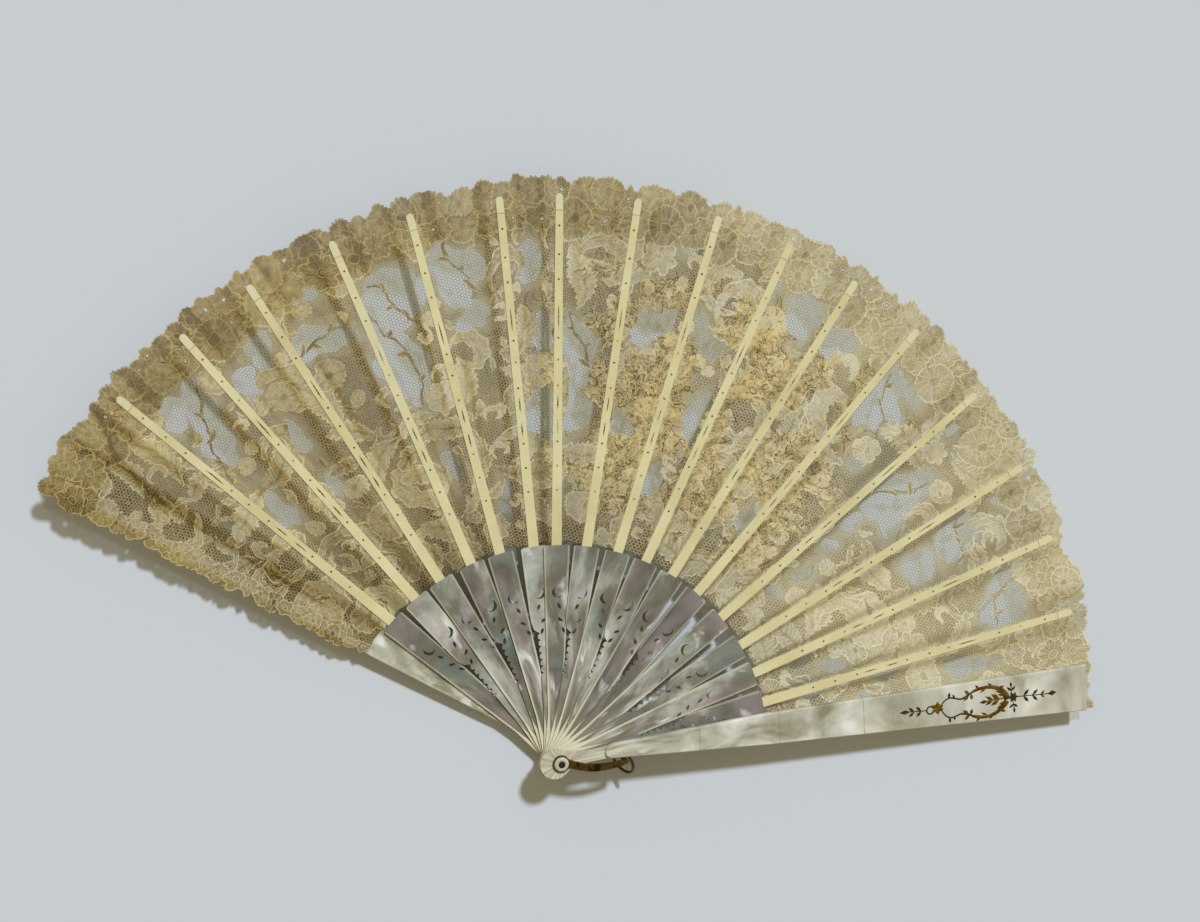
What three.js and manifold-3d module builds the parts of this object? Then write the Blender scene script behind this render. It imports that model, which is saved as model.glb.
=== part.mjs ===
// Folding lace fan, laid open and flat: two pearl guards, sixteen pierced pearl sticks with bone ribs,
// a pleated lace leaf, a pivot pin with washers, a brass bail and its ring.
// Millimetres, +Z along the pivot pin, +Y through the middle of the open fan, origin at the pin's rear end.
import * as THREE from 'three';
import { mergeVertices } from 'three/addons/utils/BufferGeometryUtils.js';
import ManifoldModule from 'manifold-3d';

const wasm = await ManifoldModule();
wasm.setup();

// Sticks and how far they stand open
const STICK_COUNT = 16;
const OPEN_GAPS_DEG = [8, 8.5, 8, 9, 8, 9, 6, 8, 8.5, 8, 8, 8.5, 9.5, 9.5, 8.5, 8.5, 8.5];
const MIDDLE_DEG = 90;

// Lengths from the pivot
const GUARD_LENGTH = 262;
const RIB_SHORT_OF_GUARD = 2;
const GORGE_RADIUS = 100;
const LEAF_CLEAR_OF_GORGE = 1;
const LEAF_PAST_RIBS = 4.5;

// Heights along the pin
const PIN_PROUD = 0.4;
const WASHER_HEIGHT = 1;
const BAIL_STRIP = 1;
const GUARD_HEAD_THICK = 1.4;
const GUARD_BODY_THICK = 3;
const GUARD_BEVEL = 0.5;
const STICK_PITCH = 1.1;
const BLADE_THICK = 0.85;
const RIB_THICK = 0.45;
const STACK_GAP = 0.1;
const LEAF_ROOM = 0.5;

// Pivot
const PIN_RADIUS = 1.5;
const PIN_CLEARANCE = 0.15;
const HEAD_RADIUS = 7.2;
const HEAD_BACK = 2.6;
const WASHER_RADIUS = 3.4;

// Pearl sticks: half widths at stations along the stick
const BLADE_TOP_HALF = 6.1;
const BLADE_NECK_HALF = 3.4;
const CARVED_EDGE_HALF = 2.3;
const NECK_AT = 20;
const CORNER_CUT = 0.8;
const NOTCH_COUNT = 7;
const NOTCH_DEPTH = 1.3;
const CARVED_FROM = 38;
const CARVED_TO = 60;
const CARVED_SWEEP = 10;

// Piercings of a pearl stick, along it from the pivot
const HOOK_AT = 78;
const HOOK_RADIUS = 2.8;
const HOOK_WIDTH = 1.5;
const LEAF_CUTS_AT = [71.5, 65, 60];
const LEAF_CUT_LENGTH = 3.4;
const LEAF_CUT_WIDTH = 1.5;

// Ribs
const RIB_ROOT_WIDTH = 4.8;
const RIB_TIP_WIDTH = 3.4;
const RIB_POCKET = 8;
const RIB_SIDE_CLEARANCE = 0.15;
const STITCH_HOLE_RADIUS = 0.55;
const STITCH_SHARES = [0.09, 0.17, 0.24, 0.405, 0.467, 0.54, 0.7, 0.77, 0.84];
const SLIT_SHARES = [[0.31, 0.38], [0.565, 0.61], [0.635, 0.68]];
const SLIT_WIDTH = 0.9;

// Guards, seen with the open side of the fan at +Y
const GUARD_TIP_LOW = -11;
const GUARD_TIP_HIGH = 12;
const GUARD_SHOULDER_AT = 21;
const GUARD_SHOULDER_ROUND = 3;
const GUARD_SHOULDER_LOW = -0.7;
const GUARD_SHOULDER_HIGH = 6.2;
const GUARD_GORGE_LOW = -5;
const GUARD_GORGE_HIGH = 10.2;

// Leaf
const LEAF_THICK = 0.25;
const PLEAT_HEIGHT = 1.6;
const FLAT_PAST_RIB = 0.3;
const FACE_HALF_START = 4.2;
const FACE_HALF_END = 9.8;
const GUARD_FACE_START = 7.8;
const GUARD_FACE_END = 10.2;
const OVERHANG_START = 0.3;
const OVERHANG_END = 4;
const LOBES_PER_PANEL = 3;
const LOBE_DEPTH = 3;
const PANEL_GAP = 0.02;

// Bail and ring
const BAIL_LENGTH = 32;
const BAIL_ARM_WIDTH = 3.8;
const BAIL_END_WIDTH = 2.6;
const BAIL_EYE_RADIUS = 4;
const BAIL_BAR_RADIUS = 1.1;
const BAIL_LAG_DEG = 4;
const BAIL_BOW = 5.5;
const BAIL_DROP = 1;
const RING_RADIUS = 6.25;
const RING_WIRE = 0.75;
const RING_TURN_DEG = -65;
const RING_TILT_DEG = 62;
const RING_PLAY = 0.4;

// Reach of the ribs and the leaf
const ribReach = GUARD_LENGTH - RIB_SHORT_OF_GUARD;
const leafStart = GORGE_RADIUS + LEAF_CLEAR_OF_GORGE;
const leafRadius = ribReach + LEAF_PAST_RIBS;

// Levels that follow from the heights above
const rearWasherLevel = PIN_PROUD;
const rearBailLevel = rearWasherLevel + WASHER_HEIGHT + STACK_GAP;
const rearGuardTop = rearBailLevel + BAIL_STRIP + STACK_GAP + GUARD_HEAD_THICK;
const stickLevel = (k) => rearGuardTop + LEAF_ROOM + STACK_GAP + (k - 1) * STICK_PITCH;
const frontGuardLevel = stickLevel(STICK_COUNT) + BLADE_THICK + LEAF_ROOM + STACK_GAP;
const frontBailLevel = frontGuardLevel + GUARD_HEAD_THICK + STACK_GAP;
const frontWasherLevel = frontBailLevel + BAIL_STRIP + STACK_GAP;
const pinLength = frontWasherLevel + WASHER_HEIGHT + PIN_PROUD;
const holeRadius = PIN_RADIUS + PIN_CLEARANCE;

const radians = THREE.MathUtils.degToRad;
const smooth = (t) => THREE.MathUtils.smoothstep(t, 0, 1);
const mix = THREE.MathUtils.lerp;
const two = (number) => String(number).padStart(2, '0');

// Direction of each stick, 0 the rear guard and the last the front guard
const spread = OPEN_GAPS_DEG.reduce((sum, gap) => sum + gap, 0);
const directions = [MIDDLE_DEG + spread / 2];
OPEN_GAPS_DEG.forEach((gap) => directions.push(directions.at(-1) - gap));

const pearl = new THREE.MeshStandardMaterial({ color: 0xc9c5bb, roughness: 0.25, metalness: 0.05 });
const guardPearl = new THREE.MeshStandardMaterial({ color: 0xdfe0da, roughness: 0.22, metalness: 0.05 });
const bone = new THREE.MeshStandardMaterial({ color: 0xe2d8aa, roughness: 0.5, metalness: 0 });
const lace = new THREE.MeshStandardMaterial({ color: 0xb9a27c, roughness: 0.95, metalness: 0 });
const brass = new THREE.MeshStandardMaterial({ color: 0x8a6a2c, roughness: 0.35, metalness: 0.9 });
const steel = new THREE.MeshStandardMaterial({ color: 0x2a2724, roughness: 0.4, metalness: 0.8 });

function solid(geometry) {
  geometry.deleteAttribute('normal');
  geometry.deleteAttribute('uv');
  const welded = mergeVertices(geometry, 1e-4);
  return new wasm.Manifold(new wasm.Mesh({
    numProp: 3,
    vertProperties: new Float32Array(welded.attributes.position.array),
    triVerts: new Uint32Array(welded.index.array),
  }));
}

function surface(manifold) {
  const mesh = manifold.getMesh();
  const geometry = new THREE.BufferGeometry();
  geometry.setAttribute('position', new THREE.BufferAttribute(mesh.vertProperties, 3));
  geometry.setIndex(new THREE.BufferAttribute(mesh.triVerts, 1));
  geometry.computeVertexNormals();
  return geometry;
}

function plate(shape, thickness, segments = 3) {
  return new THREE.ExtrudeGeometry(shape, { depth: thickness, bevelEnabled: false, curveSegments: segments });
}

function mesh(name, geometry, material) {
  const part = new THREE.Mesh(geometry, material);
  part.name = name;
  return part;
}

function circlePath(x, y, radius, sides) {
  const path = new THREE.Path();
  for (let i = 0; i < sides; i += 1) {
    const turn = (2 * Math.PI * i) / sides;
    path[i ? 'lineTo' : 'moveTo'](x + radius * Math.cos(turn), y + radius * Math.sin(turn));
  }
  path.closePath();
  return path;
}

// A pointed oval cut, as a graver leaves it
function leafPath(x, y, length, width, turn) {
  const path = new THREE.Path();
  const along = new THREE.Vector2(Math.cos(turn), Math.sin(turn)).multiplyScalar(length / 2);
  const across = new THREE.Vector2(-Math.sin(turn), Math.cos(turn)).multiplyScalar(width);
  path.moveTo(x - along.x, y - along.y);
  path.quadraticCurveTo(x + across.x, y + across.y, x + along.x, y + along.y);
  path.quadraticCurveTo(x - across.x, y - across.y, x - along.x, y - along.y);
  return path;
}

// A crescent hook: two arcs through the same ends
function hookPath(x, y, side) {
  const path = new THREE.Path();
  const steps = 7;
  const point = (i, radius) => {
    const turn = side * mix(0.15, 1.25, i / steps) * Math.PI;
    return [x + radius * Math.cos(turn), y + radius * Math.sin(turn)];
  };
  path.moveTo(...point(0, HOOK_RADIUS));
  for (let i = 1; i <= steps; i += 1) {
    path.lineTo(...point(i, HOOK_RADIUS));
  }
  for (let i = steps - 1; i > 0; i -= 1) {
    path.lineTo(...point(i, HOOK_RADIUS - HOOK_WIDTH * Math.sin((Math.PI * i) / steps)));
  }
  path.closePath();
  return path;
}

// A pearl stick lies along +X. Even sticks have the carved, notched edge on their +Y side,
// odd ones are plain there, so that the piercings of each pair face each other.
function bladeHalf(x) {
  return mix(BLADE_NECK_HALF, BLADE_TOP_HALF, (x - NECK_AT) / (GORGE_RADIUS - NECK_AT));
}

function bladeShape(even) {
  const shape = new THREE.Shape();
  const headTurn = 0.7;
  const headX = HEAD_RADIUS * Math.cos(headTurn) - HEAD_BACK;
  const headY = HEAD_RADIUS * Math.sin(headTurn);
  shape.moveTo(headX, -headY);
  shape.lineTo(NECK_AT, -BLADE_NECK_HALF);
  shape.lineTo(GORGE_RADIUS - CORNER_CUT, -BLADE_TOP_HALF);
  shape.lineTo(GORGE_RADIUS, CORNER_CUT - BLADE_TOP_HALF);
  shape.lineTo(GORGE_RADIUS, BLADE_TOP_HALF - CORNER_CUT);
  shape.lineTo(GORGE_RADIUS - CORNER_CUT, BLADE_TOP_HALF);
  if (even) {
    const pitch = (CARVED_TO - CARVED_FROM) / NOTCH_COUNT;
    const sweep = CARVED_TO + CARVED_SWEEP;
    shape.lineTo(sweep, bladeHalf(sweep));
    shape.quadraticCurveTo(CARVED_TO, bladeHalf(CARVED_TO), CARVED_TO, CARVED_EDGE_HALF);
    for (let i = 0; i < NOTCH_COUNT; i += 1) {
      const x = CARVED_TO - i * pitch;
      shape.lineTo(x - 0.3 * pitch, CARVED_EDGE_HALF - NOTCH_DEPTH);
      shape.lineTo(x - 0.55 * pitch, CARVED_EDGE_HALF - 0.2 * NOTCH_DEPTH);
      shape.lineTo(x - pitch, CARVED_EDGE_HALF);
    }
    shape.lineTo(NECK_AT, mix(CARVED_EDGE_HALF, BLADE_NECK_HALF, 0.5));
  } else {
    shape.lineTo(NECK_AT, BLADE_NECK_HALF);
  }
  shape.lineTo(headX, headY);
  shape.absarc(-HEAD_BACK, 0, HEAD_RADIUS, headTurn, 2 * Math.PI - headTurn, false);
  const side = even ? -1 : 1;
  shape.holes.push(circlePath(0, 0, holeRadius, 12));
  shape.holes.push(hookPath(HOOK_AT, -0.7, side));
  LEAF_CUTS_AT.forEach((x, i) => {
    const y = even ? [0.5, -1.1, 0][i] : [-1.4, -2, -3.4][i];
    shape.holes.push(leafPath(x, y, LEAF_CUT_LENGTH, LEAF_CUT_WIDTH, side * (i % 2 ? 0.9 : 0.4)));
  });
  return shape;
}

const ribStart = GORGE_RADIUS - RIB_POCKET;

function ribHalf(x) {
  return mix(RIB_ROOT_WIDTH, RIB_TIP_WIDTH, (x - ribStart) / (ribReach - ribStart)) / 2;
}

function ribShape() {
  const shape = new THREE.Shape();
  const round = RIB_TIP_WIDTH / 2;
  shape.moveTo(ribStart, -RIB_ROOT_WIDTH / 2);
  shape.lineTo(ribReach - round, -round);
  shape.absarc(ribReach - round, 0, round, -Math.PI / 2, Math.PI / 2, false);
  shape.lineTo(ribStart, RIB_ROOT_WIDTH / 2);
  const shown = ribReach - GORGE_RADIUS;
  STITCH_SHARES.forEach((share) => {
    shape.holes.push(circlePath(ribReach - share * shown, 0, STITCH_HOLE_RADIUS, 6));
  });
  SLIT_SHARES.forEach(([from, to]) => {
    const middle = ribReach - ((from + to) / 2) * shown;
    shape.holes.push(leafPath(middle, 0, (to - from) * shown, SLIT_WIDTH / 1.2, 0));
  });
  return shape;
}

const shoulderEnd = GUARD_SHOULDER_AT + GUARD_SHOULDER_ROUND;
const shoulderWidth = GUARD_SHOULDER_HIGH - GUARD_SHOULDER_LOW;
const shoulderY = (share) => GUARD_SHOULDER_LOW + share * shoulderWidth;

// The guard lies along +X with its straight outer edge low and the fan's sticks on its +Y side.
// Its thin head turns on the pin, and its body steps up to full thickness at a carved shoulder.
function guardHeadShape() {
  const shape = new THREE.Shape();
  shape.moveTo(HEAD_RADIUS * 0.8 - HEAD_BACK, -HEAD_RADIUS * 0.6);
  shape.quadraticCurveTo(HEAD_RADIUS, shoulderY(-0.1), GUARD_SHOULDER_AT, shoulderY(0));
  shape.lineTo(shoulderEnd, shoulderY(0.11));
  shape.lineTo(shoulderEnd, shoulderY(0.81));
  shape.lineTo(GUARD_SHOULDER_AT, shoulderY(0.81));
  shape.quadraticCurveTo(HEAD_RADIUS, shoulderY(0.6), HEAD_RADIUS * 0.6 - HEAD_BACK, HEAD_RADIUS * 0.8);
  shape.absarc(-HEAD_BACK, 0, HEAD_RADIUS, Math.atan2(0.8, 0.6), 2 * Math.PI - Math.atan2(0.6, 0.8), false);
  shape.holes.push(circlePath(0, 0, holeRadius, 16));
  return shape;
}

function guardBodyShape() {
  const shape = new THREE.Shape();
  shape.moveTo(shoulderEnd, shoulderY(0));
  shape.lineTo(GORGE_RADIUS, GUARD_GORGE_LOW);
  shape.lineTo(GUARD_LENGTH, GUARD_TIP_LOW);
  shape.lineTo(GUARD_LENGTH, GUARD_TIP_HIGH);
  shape.lineTo(GORGE_RADIUS, GUARD_GORGE_HIGH);
  shape.lineTo(GUARD_SHOULDER_AT + 1.7 * GUARD_SHOULDER_ROUND, shoulderY(1));
  shape.quadraticCurveTo(GUARD_SHOULDER_AT, shoulderY(0.89), GUARD_SHOULDER_AT, shoulderY(0.5));
  shape.quadraticCurveTo(GUARD_SHOULDER_AT, shoulderY(0.08), shoulderEnd, shoulderY(0));
  return shape;
}

function guardGeometry() {
  const head = solid(plate(guardHeadShape(), GUARD_HEAD_THICK, 8));
  const body = solid(new THREE.ExtrudeGeometry(guardBodyShape(), {
    depth: GUARD_BODY_THICK - 2 * GUARD_BEVEL,
    bevelThickness: GUARD_BEVEL,
    bevelSize: GUARD_BEVEL,
    bevelOffset: -GUARD_BEVEL,
    bevelSegments: 1,
    curveSegments: 5,
  }).translate(0, 0, GUARD_BEVEL));
  return surface(head.add(body));
}

// Half width of the lace face that a stick carries, on its left (+Y) and right side, at a distance x
const along = (x) => (x - leafStart) / (leafRadius - leafStart);
const faceHalf = (x) => mix(FACE_HALF_START, FACE_HALF_END, along(x));
const guardFace = (x) => mix(GUARD_FACE_START, GUARD_FACE_END, along(x));
const guardOuter = (x) => mix(-GUARD_GORGE_LOW, -GUARD_TIP_LOW, along(x));
const last = STICK_COUNT + 1;

function leftHalf(k, x) {
  if (k === 0) {
    return guardOuter(x) + mix(OVERHANG_START, OVERHANG_END, along(x));
  }
  return k === last ? guardFace(x) : faceHalf(x);
}

function rightHalf(k, x) {
  if (k === 0) {
    return guardFace(x);
  }
  return k === last ? guardOuter(x) : faceHalf(x);
}

function leafLevel(k) {
  if (k === 0) {
    return rearGuardTop + STACK_GAP + LEAF_THICK / 2;
  }
  return (k === last ? frontGuardLevel : stickLevel(k)) - STACK_GAP - LEAF_THICK / 2;
}

const pleat = (k) => (k === 0 || k === last ? 0 : PLEAT_HEIGHT);

// Height of the face over its own level: flat under the rib, up to the fold on its left, down on its right
function faceRise(k, x, y) {
  const flat = ribHalf(x) + FLAT_PAST_RIB;
  const reach = y > 0 ? leftHalf(k, x) : rightHalf(k, x);
  return Math.sign(y) * pleat(k) * smooth((Math.abs(y) - flat) / (reach - flat));
}

// A point of panel k in the frame of stick k, across from 0 at its left edge to 1 at the next stick's face
function leafPoint(k, across, x) {
  const share = k === last ? 1 : 0.5;
  if (across <= share) {
    const y = mix(leftHalf(k, x), -rightHalf(k, x), across / share);
    return new THREE.Vector3(x, y, leafLevel(k) + faceRise(k, x, y));
  }
  const t = ((across - share) / (1 - share)) * (1 - PANEL_GAP);
  const start = new THREE.Vector3(x, -rightHalf(k, x), leafLevel(k) - pleat(k));
  const end = new THREE.Vector3(x, leftHalf(k + 1, x), leafLevel(k + 1) + pleat(k + 1));
  end.applyAxisAngle(new THREE.Vector3(0, 0, 1), radians(-OPEN_GAPS_DEG[k]));
  const point = start.clone().lerp(end, t);
  point.z = mix(start.z, end.z, smooth(t));
  return point;
}

function leafGeometry(k) {
  const columns = k === last ? 6 : 12;
  const lobes = k === last ? 2 : LOBES_PER_PANEL;
  const geometry = new THREE.BoxGeometry(1, 1, 1, columns, 2, 1);
  const place = geometry.attributes.position;
  for (let i = 0; i < place.count; i += 1) {
    const across = place.getX(i) + 0.5;
    const edge = leafRadius + LOBE_DEPTH * Math.abs(Math.sin(lobes * Math.PI * across));
    const x = mix(leafStart, edge, 0.5 + place.getY(i));
    const point = leafPoint(k, across, x);
    place.setXYZ(i, point.x, point.y, point.z + place.getZ(i) * LEAF_THICK);
  }
  return surface(solid(geometry));
}

function washerGeometry() {
  const inner = PIN_RADIUS + STACK_GAP;
  const profile = [
    new THREE.Vector2(inner, 0),
    new THREE.Vector2(WASHER_RADIUS, 0),
    new THREE.Vector2(WASHER_RADIUS, 0.35 * WASHER_HEIGHT),
    new THREE.Vector2(mix(inner, WASHER_RADIUS, 0.75), 0.8 * WASHER_HEIGHT),
    new THREE.Vector2(mix(inner, WASHER_RADIUS, 0.35), WASHER_HEIGHT),
    new THREE.Vector2(inner, 0.8 * WASHER_HEIGHT),
    new THREE.Vector2(inner, 0),
  ];
  return new THREE.LatheGeometry(profile, 20).rotateX(Math.PI / 2);
}

function pinGeometry() {
  const chamfer = 0.2;
  const profile = [
    new THREE.Vector2(0, 0),
    new THREE.Vector2(PIN_RADIUS - chamfer, 0),
    new THREE.Vector2(PIN_RADIUS, chamfer),
    new THREE.Vector2(PIN_RADIUS, pinLength - chamfer),
    new THREE.Vector2(PIN_RADIUS - chamfer, pinLength),
    new THREE.Vector2(0, pinLength),
  ];
  return new THREE.LatheGeometry(profile, 20).rotateX(Math.PI / 2);
}

const barAt = BAIL_LENGTH - BAIL_END_WIDTH / 2;

// One flat arm of the bail along +X: an eye on the pin, a downward bow, narrowing to the crossbar
function bailArm() {
  const shape = new THREE.Shape();
  const half = BAIL_ARM_WIDTH / 2;
  const end = BAIL_END_WIDTH / 2;
  const turn = Math.asin(half / BAIL_EYE_RADIUS);
  const eyeX = BAIL_EYE_RADIUS * Math.cos(turn);
  shape.absarc(0, 0, BAIL_EYE_RADIUS, turn, 2 * Math.PI - turn, false);
  shape.quadraticCurveTo(BAIL_LENGTH / 2, -BAIL_BOW - half, barAt, -BAIL_DROP - end);
  shape.absarc(barAt, -BAIL_DROP, end, -Math.PI / 2, Math.PI / 2, false);
  shape.quadraticCurveTo(BAIL_LENGTH / 2, -BAIL_BOW + half, eyeX, half);
  shape.holes.push(circlePath(0, 0, holeRadius, 16));
  return solid(plate(shape, BAIL_STRIP, 10));
}

function bailGeometry() {
  const height = frontBailLevel - rearBailLevel;
  const bar = new THREE.CylinderGeometry(BAIL_BAR_RADIUS, BAIL_BAR_RADIUS, height, 12).rotateX(Math.PI / 2);
  const upright = solid(bar.translate(barAt, -BAIL_DROP, rearBailLevel + BAIL_STRIP / 2 + height / 2));
  const rear = bailArm().translate([0, 0, rearBailLevel]);
  const front = bailArm().translate([0, 0, frontBailLevel]);
  return surface(rear.add(upright).add(front));
}

const fan = new THREE.Group();
fan.name = 'lace_folding_fan';

function stickGroup(k, ...parts) {
  const group = new THREE.Group();
  group.rotation.z = radians(directions[k]);
  group.add(...parts);
  fan.add(group);
}

// Rear guard: the front guard turned over about its length
const rearGuard = mesh('rear_guard', guardGeometry(), guardPearl);
rearGuard.rotation.x = Math.PI;
rearGuard.position.z = rearGuardTop;
stickGroup(0, rearGuard, mesh('leaf_panel_00', leafGeometry(0), lace));

const ribBlank = ribShape();
for (let k = 1; k <= STICK_COUNT; k += 1) {
  const even = k % 2 === 0;
  const pocketHalf = RIB_ROOT_WIDTH / 2 + RIB_SIDE_CLEARANCE;
  const pocketLength = RIB_POCKET + RIB_SIDE_CLEARANCE;
  const pocketDepth = 2 * (RIB_THICK + STACK_GAP);
  const pocket = solid(new THREE.BoxGeometry(2 * pocketLength, 2 * pocketHalf, pocketDepth)
    .translate(GORGE_RADIUS, 0, 0));
  const pierced = solid(plate(bladeShape(even), BLADE_THICK)).subtract(pocket);
  const blade = mesh(`pearl_stick_${two(k)}`, surface(pierced), pearl);
  const rib = mesh(`rib_${two(k)}`, plate(ribBlank, RIB_THICK), bone);
  blade.position.z = stickLevel(k);
  rib.position.z = stickLevel(k);
  stickGroup(k, blade, rib, mesh(`leaf_panel_${two(k)}`, leafGeometry(k), lace));
}

const frontGuard = mesh('front_guard', guardGeometry(), guardPearl);
frontGuard.position.z = frontGuardLevel;
stickGroup(last, frontGuard, mesh(`leaf_panel_${two(last)}`, leafGeometry(last), lace));

fan.add(mesh('pivot_pin', pinGeometry(), steel));
const rearWasher = mesh('rear_washer', washerGeometry(), pearl);
rearWasher.rotation.x = Math.PI;
rearWasher.position.z = rearWasherLevel + WASHER_HEIGHT;
const frontWasher = mesh('front_washer', washerGeometry(), pearl);
frontWasher.position.z = frontWasherLevel;
fan.add(rearWasher, frontWasher);

const bail = new THREE.Group();
bail.rotation.z = radians(directions[last] - BAIL_LAG_DEG);
bail.add(mesh('bail', bailGeometry(), brass));
const ring = mesh('bail_ring', new THREE.TorusGeometry(RING_RADIUS, RING_WIRE, 8, 24), brass);
const ringTurn = new THREE.Group();
const ringTilt = new THREE.Group();
ringTurn.position.set(barAt, -BAIL_DROP, pinLength / 2);
ringTurn.rotation.z = radians(RING_TURN_DEG);
ringTilt.rotation.x = radians(RING_TILT_DEG);
ring.position.x = RING_RADIUS - RING_WIRE - BAIL_BAR_RADIUS - RING_PLAY;
ringTilt.add(ring);
ringTurn.add(ringTilt);
bail.add(ringTurn);
fan.add(bail);

export default fan;
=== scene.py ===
"""Folding lace fan, laid open: the looks of its lace, pearl, bone and brass over the shared frame."""

import logging
import math
from dataclasses import dataclass, field
from enum import Enum

import bpy
import numpy as np
from mathutils import Matrix, Vector

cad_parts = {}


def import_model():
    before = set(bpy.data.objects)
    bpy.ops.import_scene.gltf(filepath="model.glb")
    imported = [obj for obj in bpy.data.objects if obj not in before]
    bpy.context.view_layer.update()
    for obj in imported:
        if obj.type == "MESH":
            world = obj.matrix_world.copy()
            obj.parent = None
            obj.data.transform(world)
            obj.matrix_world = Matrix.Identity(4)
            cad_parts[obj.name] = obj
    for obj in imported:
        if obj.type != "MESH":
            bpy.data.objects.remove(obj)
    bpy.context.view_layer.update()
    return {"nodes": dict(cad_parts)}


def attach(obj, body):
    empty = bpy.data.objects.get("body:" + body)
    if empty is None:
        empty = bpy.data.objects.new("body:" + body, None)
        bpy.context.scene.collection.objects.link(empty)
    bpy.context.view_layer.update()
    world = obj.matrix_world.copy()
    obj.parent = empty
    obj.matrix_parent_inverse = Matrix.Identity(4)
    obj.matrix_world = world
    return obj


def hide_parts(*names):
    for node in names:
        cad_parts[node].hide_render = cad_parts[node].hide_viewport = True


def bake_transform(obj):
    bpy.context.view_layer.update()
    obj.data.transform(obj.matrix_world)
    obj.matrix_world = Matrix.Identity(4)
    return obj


logging.basicConfig(level=logging.INFO, format="%(message)s")
LOG = logging.getLogger("fan")
MM = 0.001
QUARTER_TURN = 1.57

Colour = tuple[float, float, float, float]
Screen = tuple[float, float, float]
Socket = bpy.types.NodeSocket
Value = float | tuple | Socket
BLACK: Colour = (0.0, 0.0, 0.0, 1.0)
WHITE: Colour = (1.0, 1.0, 1.0, 1.0)


@dataclass(frozen=True)
class FanSizes:
    """Driving sizes of the fan in millimetres and degrees, the same as the solids'."""

    sticks: int = 16
    gaps: tuple = (8, 8.5, 8, 9, 8, 9, 6, 8, 8.5, 8, 8, 8.5, 9.5, 9.5, 8.5, 8.5, 8.5)
    middle: float = 90.0
    leaf_start: float = 101.0
    leaf_radius: float = 264.5
    rib_start: float = 92.0
    rib_reach: float = 260.0
    rib_root: float = 4.8
    rib_tip: float = 3.4
    rear_level: float = 4.0
    first_stick: float = 4.6
    pitch: float = 1.1
    front_level: float = 22.55
    front_top: float = 25.55
    leaf_gap: float = 0.225
    pleat: float = 1.6
    flat_past_rib: float = 0.3
    face_half: tuple = (4.2, 9.8)
    guard_face: tuple = (7.8, 10.2)
    guard_outer: tuple = (5.0, 11.0)
    overhang: tuple = (0.3, 4.0)

    @property
    def last(self) -> int:
        """Index of the front guard."""
        return self.sticks + 1

    @property
    def directions(self) -> np.ndarray:
        """Direction of each stick in degrees, the rear guard first."""
        start = self.middle + sum(self.gaps) / 2
        return start - np.concatenate([[0.0], np.cumsum(self.gaps)])


SIZES = FanSizes()


def smooth(t: np.ndarray) -> np.ndarray:
    """Smoothstep of t clipped to 0 and 1."""
    t = np.clip(t, 0.0, 1.0)
    return t * t * (3.0 - 2.0 * t)


def srgb(red: float, green: float, blue: float) -> Colour:
    """Linear colour of an 8-bit screen colour.

    Args:
        red: Red from 0 to 255.
        green: Green from 0 to 255.
        blue: Blue from 0 to 255.

    Returns:
        Linear red, green and blue, and 1.
    """
    parts = []
    for value in (red, green, blue):
        share = value / 255.0
        parts.append(share / 12.92 if share <= 0.04045 else ((share + 0.055) / 1.055) ** 2.4)
    return (*parts, 1.0)


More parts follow.
